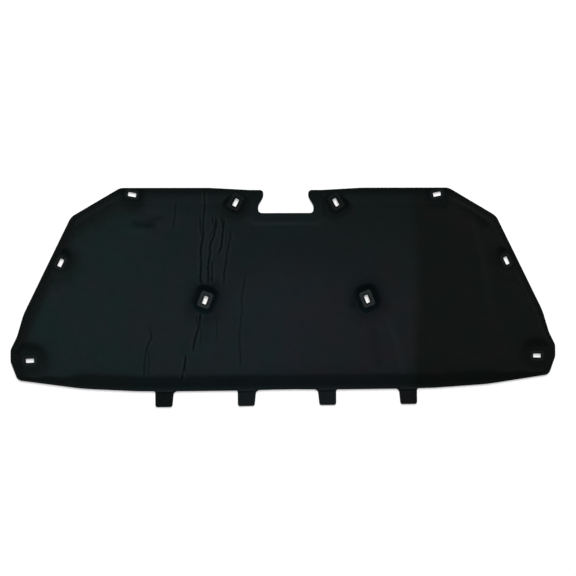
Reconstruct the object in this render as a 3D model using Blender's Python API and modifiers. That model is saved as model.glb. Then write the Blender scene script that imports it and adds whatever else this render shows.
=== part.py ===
"""Hood insulation pad: one sheet of black felt, pressed thick in the middle and thin at its rim.

The pad lies on its back face, as it would on a bench. +X runs across the car, +Y from the
tab edge to the notched edge, and +Z out of the lofted face that looks at the engine.
"""

import math
from collections import namedtuple

import bmesh
import bpy
from mathutils import Matrix, Vector

# Plan of the rim, in metres. Depth is measured from the lowest point of the tab edge, where it is
# 0, towards the notched edge. An inset is measured inwards from the widest point.
HALF_WIDTH = 0.680
PAD_DEPTH = 0.505

# Tab edge: it arches a little between the tabs, and then sweeps up to the lower corner.
ARCH_RISE = 0.0023
ARCH_LOWEST = 0.200
ARCH_TOP = 0.025
SWEEP_START = 0.045
SWEEP_INSET = 0.175
SWEEP_RISE = 0.0095
SWEEP_RADIUS = 0.600
LOWER_CORNER_INSET = 0.017
LOWER_CORNER_DEPTH = 0.032
LOWER_CORNER_RADIUS = 0.018

# Side, from the lobe beside the lowest clip seat up to the top corner.
LOBE_DEPTH = 0.078
LOBE_LENGTH = 0.029
LOBE_RADIUS = 0.022
WAIST_INSET = 0.016
WAIST_RISE = 0.033
WAIST_RADIUS = 0.060
SIDE_BEND_INSET = 0.032
SIDE_BEND_RISE = 0.054
SIDE_BEND_RADIUS = 0.150
SHOULDER_INSET = 0.149
SHOULDER_DROP = 0.0714
SHOULDER_RADIUS = 0.035
TOP_CORNER_INSET = 0.270
TOP_CORNER_RADIUS = 0.030

# Notched edge: it dips beside the notch, whose sides lean in under their own mouth.
DIP = 0.0055
DIP_START = 0.090
DIP_LENGTH = 0.100
DIP_RADIUS = 0.200
NOTCH_MOUTH = 0.112
NOTCH_FLOOR = 0.138
NOTCH_DROP = 0.0575
NOTCH_MOUTH_RADIUS = 0.010
NOTCH_LIP = 0.017
NOTCH_LIP_RADIUS = 0.020
NOTCH_HEEL = 0.018
NOTCH_FLOOR_RADIUS = 0.010

# Tabs that tuck into the slots of the hood's inner panel.
TABS_PER_SIDE = 2
TAB_PITCH = 0.204
TAB_WIDTH = 0.042
TAB_LENGTH = 0.0385
TAB_FLARE = 0.004
TAB_TIP_RADIUS = 0.006
TAB_INNER_ROOT_RADIUS = 0.010
TAB_OUTER_ROOT_RADIUS = 0.004
TAB_THICKNESS = 0.0025
TAB_STEP_START = 0.003
TAB_STEP_RUN = 0.004

# Thicknesses, from the back face up.
RIM_THICKNESS = 0.004
LOFT_THICKNESS = 0.016
POCKET_FLOOR = 0.0044
PLATEAU_RISE = 0.0016
EDGE_SOFTNESS = 0.0008

# The thick field: where its wall starts and where it reaches full loft, in from each edge of the rim.
# Along the tab edge and the top the wall is a straight slope, and elsewhere it is gentle at both ends.
FLANGE = 0.009
NOTCH_FLANGE = 0.020
TAB_EDGE_FLANGE = 0.004
SIDE_WALL_RUN = 0.017
TOP_WALL_RUN = 0.030
NOTCH_WALL_RUN = 0.012
TAB_EDGE_WALL_RUN = 0.032
FOOT_RADIUS = 0.018
CROWN_RADIUS = 0.030
WALL_STEPS = 4

# Slots for the clips, and the flat plateau that each deep pocket has around its slot.
SLOT_LENGTH = 0.020
SLOT_WIDTH = 0.010
SLOT_RADIUS = 0.0018
PLATEAU_RADIUS = 0.006
POCKET_RADIUS = 0.012
FLOOR_MARGIN = 0.004

ARC_STEP = math.radians(16)
LEAST_ARC_STEPS = 2
CLEAR = 0.004
BURIED = 0.001
LIP_ROUNDING = 0.0004

DEPTH_CENTRE = (PAD_DEPTH - TAB_LENGTH) / 2
PAD_COLOUR = (0.012, 0.016, 0.017, 1.0)
PAD_ROUGHNESS = 0.88

Corner = namedtuple("Corner", "x depth radius")

# How the thick field keeps its distance from an edge of the rim.
Margin = namedtuple("Margin", "flange run straight")

# One clip seat. x is from the centre line, turn is the slot's long axis in degrees from +X. The floor
# is length by width along and across the slot, moved by along and across to run out over the rim, and
# flare is the width of its walls.
Seat = namedtuple("Seat", "name x depth turn length width along across flare plateau")

PLATEAU_LENGTH = 0.040
PLATEAU_WIDTH = 0.030
DEEP_FLOOR = (PLATEAU_LENGTH + 2 * FLOOR_MARGIN, PLATEAU_WIDTH + 2 * FLOOR_MARGIN)

MIDDLE_SEAT_X = 0.202
MIDDLE_SEAT_DEPTH = 0.226
NOTCH_SEAT_CLEARANCE = 0.069
NOTCH_SEAT_DROP = 0.0367
TOP_SEAT_INSET = 0.0294
TOP_SEAT_DROP = 0.0166
SIDE_SEAT_INSET = 0.1235
SIDE_SEAT_DROP = 0.1845
LOWER_SEAT_INSET = 0.047
LOWER_SEAT_RISE = 0.002

NOTCH_SEAT_X = NOTCH_MOUTH / 2 + NOTCH_SEAT_CLEARANCE
TOP_SEAT_X = HALF_WIDTH - TOP_CORNER_INSET - TOP_SEAT_INSET
SIDE_SEAT_X = HALF_WIDTH - SIDE_SEAT_INSET
LOWER_SEAT_X = HALF_WIDTH - LOWER_SEAT_INSET
LOWER_SEAT_DEPTH = LOBE_DEPTH + LOWER_SEAT_RISE

SEATS = (
    Seat("middle", MIDDLE_SEAT_X, MIDDLE_SEAT_DEPTH, 111, *DEEP_FLOOR, 0, 0, 0.017, True),
    Seat("notch", NOTCH_SEAT_X, PAD_DEPTH - NOTCH_SEAT_DROP, 118, *DEEP_FLOOR, 0, 0, 0.010, True),
    Seat("top", TOP_SEAT_X, PAD_DEPTH - TOP_SEAT_DROP, 11, 0.038, 0.042, 0, 0.008, 0.011, False),
    Seat("side", SIDE_SEAT_X, PAD_DEPTH - SIDE_SEAT_DROP, 116, 0.044, 0.056, 0, -0.012, 0.014, False),
    Seat("lower", LOWER_SEAT_X, LOWER_SEAT_DEPTH, -2, 0.100, 0.096, 0.022, -0.026, 0.014, False),
)


def plan(x, depth, z):
    """A point of the plan in the part's own frame."""
    return Vector((x, depth - DEPTH_CENTRE, z))


def tab_edge_corner(x, radius):
    """A corner on the tab edge, which arches about its two lowest points."""
    return Corner(x, ARCH_RISE * (x / ARCH_LOWEST - 1) ** 2, radius)


def tab_corners(centre):
    """Outline of one tab on the right half. Its inner side flares where it leaves the rim."""
    inner = centre - TAB_WIDTH / 2
    outer = centre + TAB_WIDTH / 2
    return [
        tab_edge_corner(inner - TAB_FLARE, TAB_INNER_ROOT_RADIUS),
        Corner(inner, -TAB_LENGTH, TAB_TIP_RADIUS),
        Corner(outer, -TAB_LENGTH, TAB_TIP_RADIUS),
        tab_edge_corner(outer, TAB_OUTER_ROOT_RADIUS),
    ]


def tab_centres():
    """Distances of the right half's tabs from the centre line."""
    return [TAB_PITCH * (place + 0.5) for place in range(TABS_PER_SIDE)]


def shell_corners():
    """The corners that the rim and the thick field share, from the sweep of the tab edge to the top."""
    sweep_x = tab_centres()[-1] + TAB_WIDTH / 2 + SWEEP_START
    lobe_top = LOBE_DEPTH + LOBE_LENGTH
    side_bend = lobe_top + WAIST_RISE + SIDE_BEND_RISE
    return [
        tab_edge_corner(sweep_x, SWEEP_RADIUS),
        Corner(HALF_WIDTH - SWEEP_INSET, SWEEP_RISE, SWEEP_RADIUS),
        Corner(HALF_WIDTH - LOWER_CORNER_INSET, LOWER_CORNER_DEPTH, LOWER_CORNER_RADIUS),
        Corner(HALF_WIDTH, LOBE_DEPTH, LOBE_RADIUS),
        Corner(HALF_WIDTH, lobe_top, LOBE_RADIUS),
        Corner(HALF_WIDTH - SIDE_BEND_INSET, side_bend, SIDE_BEND_RADIUS),
        Corner(HALF_WIDTH - SHOULDER_INSET, PAD_DEPTH - SHOULDER_DROP, SHOULDER_RADIUS),
        Corner(HALF_WIDTH - TOP_CORNER_INSET, PAD_DEPTH, TOP_CORNER_RADIUS),
    ]


def rim_corners():
    """Right half of the outline, from the centre of the tab edge round to the centre of the notch."""
    tabs = [tab_edge_corner(ARCH_TOP, SWEEP_RADIUS)]
    tabs += [corner for centre in tab_centres() for corner in tab_corners(centre)]
    shell = shell_corners()
    lobe_top = LOBE_DEPTH + LOBE_LENGTH
    waist = Corner(HALF_WIDTH - WAIST_INSET, lobe_top + WAIST_RISE, WAIST_RADIUS)
    shell.insert(5, waist)
    mouth_depth = PAD_DEPTH - DIP
    floor_depth = mouth_depth - NOTCH_DROP
    notch = [
        Corner(DIP_START + DIP_LENGTH, PAD_DEPTH, DIP_RADIUS),
        Corner(DIP_START, mouth_depth, DIP_RADIUS),
        Corner(NOTCH_MOUTH / 2, mouth_depth, NOTCH_MOUTH_RADIUS),
        Corner(NOTCH_MOUTH / 2, mouth_depth - NOTCH_LIP, NOTCH_LIP_RADIUS),
        Corner(NOTCH_FLOOR / 2, floor_depth + NOTCH_HEEL, NOTCH_FLOOR_RADIUS),
        Corner(NOTCH_FLOOR / 2, floor_depth, NOTCH_FLOOR_RADIUS),
    ]
    return tabs + shell + notch


def field_corners():
    """The rim without its tabs and small bends, each corner with the margin of the edge it ends."""
    notch_floor = PAD_DEPTH - DIP - NOTCH_DROP
    shell = shell_corners()
    notch = [Corner(NOTCH_FLOOR / 2, PAD_DEPTH, 0), Corner(NOTCH_FLOOR / 2, notch_floor, 0)]
    tab_edge = Margin(TAB_EDGE_FLANGE, TAB_EDGE_WALL_RUN, True)
    side = Margin(FLANGE, SIDE_WALL_RUN, False)
    top = Margin(FLANGE, TOP_WALL_RUN, True)
    beside_notch = Margin(NOTCH_FLANGE, NOTCH_WALL_RUN, False)
    return list(zip(shell + notch, [tab_edge] * 3 + [side] * 5 + [top, beside_notch]))


def both_halves(half):
    """A right half of an outline, counterclockwise, closed with its mirror image."""
    return half + [corner._replace(x=-corner.x) for corner in reversed(half)]


def rounded(corners):
    """Points of a closed outline whose corners are arcs, each limited to half its shorter edge."""
    points = []
    for i, corner in enumerate(corners):
        here = Vector((corner.x, corner.depth))
        before = Vector((corners[i - 1].x, corners[i - 1].depth)) - here
        after_corner = corners[(i + 1) % len(corners)]
        after = Vector((after_corner.x, after_corner.depth)) - here
        turn = math.pi - before.angle(after)
        reach = min(corner.radius * math.tan(turn / 2), before.length / 2, after.length / 2)
        radius = reach / math.tan(turn / 2)
        bisector = (before.normalized() + after.normalized()).normalized()
        centre = here + bisector * (radius / math.cos(turn / 2))
        start = here + before.normalized() * reach - centre
        side = 1 if before.cross(after) < 0 else -1
        steps = max(LEAST_ARC_STEPS, round(turn / ARC_STEP))
        for step in range(steps + 1):
            angle = side * turn * step / steps
            spoke = Matrix.Rotation(angle, 2) @ start
            points.append(centre + spoke)
    return points


def inset_outline(reach, radius):
    """The thick field's outline where its wall has covered a share of its run, from 0 to 1."""
    half = field_corners()
    mirrored = [(corner._replace(x=-corner.x), margins) for corner, margins in reversed(half)]
    loop = half + mirrored
    # The edge that ends at a corner of the mirrored half is the one that leaves it on the right half.
    edge_margins = [margins for _, margins in half] + [half[-1][1]]
    edge_margins += [margins for _, margins in reversed(half)][:-1]
    corners = [corner for corner, _ in loop]
    lines = []
    for i, corner in enumerate(corners):
        start = Vector((corners[i - 1].x, corners[i - 1].depth))
        end = Vector((corner.x, corner.depth))
        along = (end - start).normalized()
        margin = edge_margins[i]
        covered = eased(reach) if margin.straight else reach
        inward = Vector((-along.y, along.x))
        lines.append((start + inward * (margin.flange + margin.run * covered), along))
    inset = []
    for i in range(len(corners)):
        point, along = lines[i]
        other_point, other_along = lines[(i + 1) % len(lines)]
        share = (other_point - point).cross(other_along) / along.cross(other_along)
        meeting = point + along * share
        inset.append(Corner(meeting.x, meeting.y, radius))
    return rounded(inset)


def eased(share):
    """A felt wall's rise: gentle at its foot and at its crown, steep between."""
    return share * share * (3 - 2 * share)


def collection_of(name):
    """A collection in the scene, made once."""
    found = bpy.data.collections.get(name)
    if found is None:
        found = bpy.data.collections.new(name)
        bpy.context.scene.collection.children.link(found)
    return found


def add_solid(name, rings, collection):
    """Closed mesh through level rings of points, lowest first, each with as many points."""
    shape = bmesh.new()
    loops = [[shape.verts.new(point) for point in ring] for ring in rings]
    for lower, upper in zip(loops, loops[1:]):
        for i in range(len(lower)):
            j = (i + 1) % len(lower)
            shape.faces.new((lower[i], lower[j], upper[j], upper[i]))
    shape.faces.new(list(reversed(loops[0])))
    shape.faces.new(loops[-1])
    mesh = bpy.data.meshes.new(name)
    shape.to_mesh(mesh)
    shape.free()
    solid = bpy.data.objects.new(name, mesh)
    collection.objects.link(solid)
    return solid


def as_helper(solid):
    """A cutter or a piece that is joined in: no part of the render by itself."""
    solid.hide_render = True
    solid.display_type = "WIRE"
    return solid


def rim_plate():
    """The thin pressed sheet with the notch and the tabs, from a filled flat curve."""
    outline = rounded(both_halves(rim_corners()))
    curve = bpy.data.curves.new("rim_outline", "CURVE")
    curve.dimensions = "2D"
    curve.fill_mode = "BOTH"
    curve.extrude = RIM_THICKNESS / 2
    spline = curve.splines.new("POLY")
    spline.points.add(len(outline) - 1)
    for point, corner in zip(spline.points, outline):
        point.co = (corner.x, corner.y - DEPTH_CENTRE, 0, 1)
    spline.use_cyclic_u = True
    drawn = bpy.data.objects.new("rim_outline", curve)
    bpy.context.scene.collection.objects.link(drawn)
    drawn.location.z = RIM_THICKNESS / 2
    bpy.context.view_layer.update()
    graph = bpy.context.evaluated_depsgraph_get()
    mesh = bpy.data.meshes.new_from_object(drawn.evaluated_get(graph))
    mesh.transform(drawn.matrix_world)
    bpy.data.objects.remove(drawn)
    shape = bmesh.new()
    shape.from_mesh(mesh)
    bmesh.ops.remove_doubles(shape, verts=shape.verts, dist=0.00001)
    bmesh.ops.recalc_face_normals(shape, faces=shape.faces)
    shape.to_mesh(mesh)
    shape.free()
    pad = bpy.data.objects.new("insulation_pad", mesh)
    collection_of("hood_insulation_pad").objects.link(pad)
    softened = pad.modifiers.new("pressed edge", "BEVEL")
    softened.width = EDGE_SOFTNESS
    softened.segments = 1
    softened.limit_method = "ANGLE"
    softened.angle_limit = math.radians(50)
    return pad


def thick_field():
    """The lofted middle of the pad, which rises from the rim on a soft wall."""
    foot = RIM_THICKNESS - BURIED
    rings = []
    for step in range(WALL_STEPS + 1):
        share = step / WALL_STEPS
        height = foot + (LOFT_THICKNESS - foot) * eased(share)
        radius = FOOT_RADIUS + (CROWN_RADIUS - FOOT_RADIUS) * share
        rings.append([plan(p.x, p.y, height) for p in inset_outline(share, radius)])
    return as_helper(add_solid("thick_field", rings, collection_of("joined_in")))


def seat_frame(seat, side):
    """Turns a point along and across a seat's slot into the plan, on the right (1) or left (-1)."""
    turn = math.radians(seat.turn)
    along = Vector((math.cos(turn) * side, math.sin(turn)))
    across = Vector((-math.sin(turn) * side, math.cos(turn)))
    middle = Vector((seat.x * side, seat.depth))
    return middle, along, across


def seat_ring(seat, side, length, width, radius, centre, z):
    """A level ring: a rounded rectangle along a seat's slot, about a centre given in that frame."""
    middle, along, across = seat_frame(seat, side)
    corners = []
    for u, v in ((1, 1), (-1, 1), (-1, -1), (1, -1)):
        point = middle + along * (centre[0] + u * length / 2) + across * (centre[1] + v * width / 2)
        corners.append(Corner(point.x, point.y, radius))
    if side < 0:
        corners.reverse()
    return [plan(p.x, p.y, z) for p in rounded(corners)]


def pocket_cutter(seat, side):
    """The hollow over a seat: a flat floor, then walls that flare up through the lofted face."""
    top = LOFT_THICKNESS + LIP_ROUNDING
    rings = []
    for step in range(WALL_STEPS + 1):
        share = step / WALL_STEPS
        spread = 2 * seat.flare * share
        height = POCKET_FLOOR + (top - POCKET_FLOOR) * eased(share)
        radius = POCKET_RADIUS + seat.flare * share
        length, width = seat.length + spread, seat.width + spread
        rings.append(
            seat_ring(seat, side, length, width, radius, (seat.along, seat.across), height)
        )
    rings.append([point + Vector((0, 0, CLEAR)) for point in rings[-1]])
    return add_solid(side_name(seat.name + "_pocket", side), rings, collection_of("pockets"))


def plateau(seat, side):
    """The raised flat around the slot of a deep pocket, with chamfered edges."""
    top = POCKET_FLOOR + PLATEAU_RISE
    levels = (
        (POCKET_FLOOR - BURIED, 0),
        (top - EDGE_SOFTNESS, 0),
        (top, 2 * EDGE_SOFTNESS),
    )
    rings = [
        seat_ring(
            seat,
            side,
            PLATEAU_LENGTH - chamfer,
            PLATEAU_WIDTH - chamfer,
            PLATEAU_RADIUS - chamfer / 2,
            (0, 0),
            height,
        )
        for height, chamfer in levels
    ]
    return add_solid(side_name(seat.name + "_plateau", side), rings, collection_of("plateaus"))


def slot_cutter(seat, side):
    """The slot that a clip's shank goes through."""
    rings = [
        seat_ring(seat, side, SLOT_LENGTH, SLOT_WIDTH, SLOT_RADIUS, (0, 0), height)
        for height in (-CLEAR, LOFT_THICKNESS + CLEAR)
    ]
    return add_solid(side_name(seat.name + "_slot", side), rings, collection_of("slots"))


def tab_cutter(centre, side):
    """What is pressed out of the top of a tab, so that it steps down from the rim and is thinner."""
    near = -TAB_STEP_START - TAB_STEP_RUN
    far = -TAB_LENGTH - CLEAR
    half = TAB_WIDTH / 2 + TAB_FLARE + CLEAR
    top = RIM_THICKNESS + BURIED
    rise = (top - TAB_THICKNESS) / (RIM_THICKNESS - TAB_THICKNESS)
    rings = []
    for height, spread in ((TAB_THICKNESS, 0), (top, TAB_STEP_RUN * rise)):
        corners = [
            (centre * side - half - spread, far - spread),
            (centre * side + half + spread, far - spread),
            (centre * side + half + spread, near + spread),
            (centre * side - half - spread, near + spread),
        ]
        rings.append([plan(x, depth, height) for x, depth in corners])
    name = side_name("tab_%03.0f" % (centre * 1000), side)
    return add_solid(name, rings, collection_of("tab_steps"))


def side_name(name, side):
    """The name of a piece on the right or on the left half."""
    return name + ("_right" if side > 0 else "_left")


def combine(pad, operation, operand):
    """Joins in or cuts out one object, or all the solids of a collection."""
    modifier = pad.modifiers.new(operation.lower() + " " + operand.name, "BOOLEAN")
    modifier.operation = operation
    modifier.solver = "EXACT"
    if isinstance(operand, bpy.types.Collection):
        modifier.operand_type = "COLLECTION"
        modifier.collection = operand
    else:
        modifier.object = operand


def felt_material():
    """Black needled felt under its woven-look facing."""
    felt = bpy.data.materials.new("black_felt")
    felt.use_nodes = True
    shader = felt.node_tree.nodes["Principled BSDF"]
    shader.inputs["Base Color"].default_value = PAD_COLOUR
    shader.inputs["Roughness"].default_value = PAD_ROUGHNESS
    shader.inputs["Metallic"].default_value = 0.0
    return felt


def build_pad():
    """The whole pad: rim and tabs, thick field, pockets, plateaus and slots."""
    pad = rim_plate()
    field = thick_field()
    for side in (1, -1):
        for seat in SEATS:
            as_helper(pocket_cutter(seat, side))
            as_helper(slot_cutter(seat, side))
            if seat.plateau:
                as_helper(plateau(seat, side))
        for centre in tab_centres():
            as_helper(tab_cutter(centre, side))
    combine(pad, "DIFFERENCE", collection_of("tab_steps"))
    combine(pad, "UNION", field)
    combine(pad, "DIFFERENCE", collection_of("pockets"))
    combine(pad, "UNION", collection_of("plateaus"))
    combine(pad, "DIFFERENCE", collection_of("slots"))
    pad.data.materials.append(felt_material())
    return pad


for leftover in list(bpy.data.objects):
    bpy.data.objects.remove(leftover)
build_pad()
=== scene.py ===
"""Looks of a moulded felt pad that lines the underside of a car's hood.

The pad is one pressed sheet, so one dressed mesh stands for its solid: a thin rim with tabs, a thick
field, and a pocket with a slot for each retainer clip. Its facing is settled over the pressed felt
with cloth, and then creased where the sheet has been bent. Lengths are in metres, in the part's frame.
"""

import logging
import math
from dataclasses import dataclass, field, replace
from enum import Enum
from functools import reduce

import bpy
import numpy as np
from mathutils import Matrix, Vector, geometry, kdtree

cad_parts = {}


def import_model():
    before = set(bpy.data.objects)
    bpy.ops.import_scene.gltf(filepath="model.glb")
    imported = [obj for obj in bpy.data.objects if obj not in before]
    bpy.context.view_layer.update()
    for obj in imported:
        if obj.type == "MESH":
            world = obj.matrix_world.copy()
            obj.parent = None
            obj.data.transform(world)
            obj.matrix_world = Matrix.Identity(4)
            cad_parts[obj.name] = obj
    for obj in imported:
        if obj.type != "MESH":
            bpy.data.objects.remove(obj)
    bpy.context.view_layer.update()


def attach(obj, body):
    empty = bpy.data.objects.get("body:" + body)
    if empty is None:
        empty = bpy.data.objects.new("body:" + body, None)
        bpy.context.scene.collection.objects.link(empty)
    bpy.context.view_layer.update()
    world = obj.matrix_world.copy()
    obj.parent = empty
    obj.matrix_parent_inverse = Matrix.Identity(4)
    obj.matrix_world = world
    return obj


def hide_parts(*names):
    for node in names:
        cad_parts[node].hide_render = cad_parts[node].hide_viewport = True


LOG = logging.getLogger("hood_pad")
PAD_NODE = "insulation_pad"
MM = 0.001

# Short names for the types that most signatures use.
Array = np.ndarray
Socket = bpy.types.NodeSocket
Two = tuple[float, float]
Three = tuple[float, float, float]
Four = tuple[float, float, float, float]


class Side(Enum):
    """The half of the pad that a feature lies on."""

    RIGHT = 1
    LEFT = -1


class Mark(Enum):
    """What the mesh tells its finish about each point, as a float attribute."""

    # Painted sheen and highlights on plateaus, about slots, along crack edges and tab folds, and on
    # ridges; the roughness is also lowered there.
    PAINTED_SHEEN_AND_GLOSS = "pressed"
    RIM = "rim"
    # Cracks, with painted shade in them and in a soft band beside them.
    CREASE = "crease"
    # Painted shade in pockets, on slopes and walls facing away from the light, at folds, ribs and slot
    # edges; also darker patches and bands, and a darker tone on the barer tabs.
    SHADE = "shade"


def eased(share: Array) -> Array:
    """A soft step from 0 to 1 over a share that is first held between them."""
    held = np.clip(share, 0.0, 1.0)
    return held * held * (3.0 - 2.0 * held)


def uneased(height: Array) -> Array:
    """The share that eased turns into a height from 0 to 1."""
    return 0.5 - np.sin(np.arcsin(1.0 - 2.0 * np.clip(height, 0.0, 1.0)) / 3.0)


def soft_min(a: Array, b: Array, reach: float) -> Array:
    """The lower of two heights, blended where they differ by less than reach."""
    h = np.clip(0.5 + 0.5 * (b - a) / reach, 0.0, 1.0)
    return b * (1.0 - h) + a * h - reach * h * (1.0 - h)


def soft_max(a: Array, b: Array, reach: float) -> Array:
    """The higher of two heights, blended where they differ by less than reach."""
    return -soft_min(-a, -b, reach)


def bell(gap: Array, width: float) -> Array:
    """A soft bump over a gap: 1 where it is 0, and about a third of that at the width."""
    return np.exp(-((gap / width) ** 2))


def to_polyline(points: Array, line: Array) -> tuple[Array, Array]:
    """Measures points against an open polyline.

    Args:
        points: places in plan, one per row.
        line: the polyline's corners, one per row.

    Returns:
        Each point's distance to the line, and how far along it the nearest place is, from 0 to 1.
    """
    nearest = np.full(len(points), np.inf)
    along = np.zeros(len(points))
    lengths = np.hypot(*(line[1:] - line[:-1]).T)
    passed = 0.0
    for start, end, length in zip(line[:-1], line[1:], lengths):
        run = (end - start) / length
        share = np.clip((points - start) @ run, 0.0, length)
        gap = np.hypot(*(points - start - share[:, None] * run).T)
        closer = gap < nearest
        nearest[closer] = gap[closer]
        along[closer] = (passed + share[closer]) / lengths.sum()
        passed += length
    return nearest, along


def rounded_box(u: Array, v: Array, length: float, width: float, radius: float) -> Array:
    """Measures places against a rounded rectangle about the origin.

    Args:
        u: distances along the rectangle's length.
        v: distances along its width.
        length: its whole length.
        width: its whole width.
        radius: the radius of its corners.

    Returns:
        Signed distances to the rectangle, below 0 inside it.
    """
    past_u = np.abs(u) - (length / 2 - radius)
    past_v = np.abs(v) - (width / 2 - radius)
    outside = np.hypot(np.maximum(past_u, 0.0), np.maximum(past_v, 0.0))
    return outside + np.minimum(np.maximum(past_u, past_v), 0.0) - radius


def tree_over(points: Array) -> kdtree.KDTree:
    """Sorts points so that the nearest to a place can be found.

    Args:
        points: places in plan.

    Returns:
        The tree, which numbers the points by row.
    """
    tree = kdtree.KDTree(len(points))
    for i, (x, y) in enumerate(points):
        tree.insert((x, y, 0.0), i)
    tree.balance()
    return tree


@dataclass(frozen=True)
class Ramp:
    """A soft step over a run, with its strength at the high end."""

    start: float
    run: float
    strength: float = 1.0

    def rising(self, value: Array) -> Array:
        """0 up to the start, and the strength from the end of the run."""
        return self.strength * eased((value - self.start) / self.run)

    def falling(self, value: Array) -> Array:
        """The strength up to the start, and 0 from the end of the run."""
        return self.strength * (1.0 - eased((value - self.start) / self.run))


@dataclass(frozen=True)
class Stripe:
    """A soft band about a middle, with its strength there."""

    middle: float
    width: float
    strength: float = 1.0

    def at(self, value: Array) -> Array:
        """The band's height at each value."""
        return self.strength * bell(value - self.middle, self.width)


@dataclass(frozen=True)
class Corner:
    """A corner of an outline in plan, rounded by an arc."""

    x: float
    depth: float
    radius: float = 0.0

    def mirrored(self) -> "Corner":
        """The same corner on the other half."""
        return replace(self, x=-self.x)


@dataclass(frozen=True)
class Unevenness:
    """A smooth random surface: a sum of waves of about one length, in all directions."""

    wavelength: float
    height: float
    seed: int
    waves: int = 28

    LENGTHS = (0.7, 1.5)

    def at(self, points: Array) -> Array:
        """Adds the waves up.

        Args:
            points: places in plan.

        Returns:
            The surface's height at each place.
        """
        draw = np.random.default_rng(self.seed)
        heading = draw.uniform(0.0, math.pi, self.waves)
        pitch = 2 * math.pi / (self.wavelength * draw.uniform(*self.LENGTHS, self.waves))
        phase = draw.uniform(0.0, 2 * math.pi, self.waves)
        total = np.zeros(len(points))
        for turn, rate, start in zip(heading, pitch, phase):
            total += np.sin(rate * (points[:, 0] * math.cos(turn) + points[:, 1] * math.sin(turn)) + start)
        return total * self.height / math.sqrt(self.waves / 2)


class Loop:
    """A closed outline in plan, as evenly spaced points with normals into the felt."""

    ARC_SHARE = 0.5

    def __init__(self, corners: list[Corner], spacing: float, is_hole: bool = False) -> None:
        """Rounds the corners and spaces the points evenly.

        Args:
            corners: the outline's corners, counterclockwise.
            spacing: distance between neighbouring points.
            is_hole: True where the felt lies outside the outline.
        """
        drawn = self._rounded(corners, spacing)
        closed = np.vstack([drawn, drawn[:1]])
        travelled = np.concatenate([[0.0], np.cumsum(np.hypot(*np.diff(closed, axis=0).T))])
        count = round(travelled[-1] / spacing)
        stops = np.arange(count) * travelled[-1] / count
        self.points = np.column_stack([np.interp(stops, travelled, closed[:, k]) for k in (0, 1)])
        run = np.roll(self.points, -1, axis=0) - np.roll(self.points, 1, axis=0)
        run /= np.hypot(*run.T)[:, None]
        self.inward = np.column_stack([-run[:, 1], run[:, 0]]) * (-1.0 if is_hole else 1.0)
        self.is_hole = is_hole

    def _rounded(self, corners: list[Corner], spacing: float) -> Array:
        """Draws an arc at each corner, held to half of its shorter edge.

        Args:
            corners: the outline's corners.
            spacing: distance between neighbouring points of the finished outline.

        Returns:
            The outline's points, unevenly spaced.
        """
        places = np.array([[corner.x, corner.depth] for corner in corners])
        drawn = []
        for i, corner in enumerate(corners):
            here = places[i]
            before, after = places[i - 1] - here, places[(i + 1) % len(places)] - here
            reach_before, reach_after = np.hypot(*before), np.hypot(*after)
            before, after = before / reach_before, after / reach_after
            turn = math.pi - math.acos(max(-1.0, min(1.0, float(before @ after))))
            reach = min(corner.radius * math.tan(turn / 2), reach_before / 2, reach_after / 2)
            radius = reach / math.tan(turn / 2)
            bisector = (before + after) / np.hypot(*(before + after))
            centre = here + bisector * radius / math.cos(turn / 2)
            spoke = here + before * reach - centre
            way = 1.0 if before[0] * after[1] - before[1] * after[0] < 0 else -1.0
            steps = max(3, math.ceil(radius * turn / (spacing * self.ARC_SHARE)))
            for angle in np.linspace(0.0, way * turn, steps + 1):
                c, s = math.cos(angle), math.sin(angle)
                drawn.append(centre + [c * spoke[0] - s * spoke[1], s * spoke[0] + c * spoke[1]])
        return np.array(drawn)

    def inset(self, distance: float) -> Array:
        """The outline's points moved into the felt."""
        return self.points + self.inward * distance


@dataclass(frozen=True)
class Halo:
    """Painted shade in and around a pocket.

    It keeps its strength until a lead inside the floor's edge, and then fades over a run. Its haze
    reaches further out. Where drain is above 0, the felt also loses its tint.
    """

    strength: float
    lead: float
    run: float
    haze: float = 0.0
    drain: float = 0.0

    HAZE_WIDTH = 0.026

    def at(self, gap: Array) -> Array:
        """Darkness at signed distances to the pocket's floor."""
        haze = self.haze * bell(np.maximum(gap, 0.0), self.HAZE_WIDTH)
        return np.maximum(Ramp(-self.lead, self.run, self.strength).falling(gap), haze)


@dataclass(frozen=True)
class ClipSeat:
    """A pressed pocket with the slot for a retainer clip, on the right half."""

    name: str
    x: float
    depth: float
    turn: float
    floor_length: float
    floor_width: float
    shift_along: float
    shift_across: float
    flare: float
    has_plateau: bool
    halo: Halo
    # How strong the painted highlight on its plateau is.
    painted_highlight: float = 1.0
    corner: float = 0.012

    def local(self, points: Array, side: Side) -> tuple[Array, Array]:
        """Turns places into the slot's own frame.

        Args:
            points: places in plan.
            side: the half that the seat lies on.

        Returns:
            Distances along the slot, and across it.
        """
        turn = math.radians(self.turn)
        offset = points - [self.x * side.value, self.depth]
        along = offset @ [math.cos(turn) * side.value, math.sin(turn)]
        across = offset @ [-math.sin(turn) * side.value, math.cos(turn)]
        return along, across

    def floor_gap(self, points: Array, side: Side) -> Array:
        """Signed distances to the pocket's floor, which need not lie centrally about the slot."""
        along, across = self.local(points, side)
        u, v = along - self.shift_along, across - self.shift_across
        return rounded_box(u, v, self.floor_length, self.floor_width, self.corner)

    def ring(self, side: Side, length: float, width: float, radius: float) -> list[Corner]:
        """Lays a rectangle about the slot.

        Args:
            side: the half that the seat lies on.
            length: the rectangle's length, along the slot.
            width: its width.
            radius: the radius of its corners.

        Returns:
            Its corners, counterclockwise.
        """
        turn = math.radians(self.turn)
        corners = []
        for u, v in ((1, 1), (-1, 1), (-1, -1), (1, -1)):
            along, across = u * length / 2, v * width / 2
            x = self.x + along * math.cos(turn) - across * math.sin(turn)
            depth = self.depth + along * math.sin(turn) + across * math.cos(turn)
            corners.append(Corner(x * side.value, depth, radius))
        return corners if side is Side.RIGHT else corners[::-1]


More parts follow.
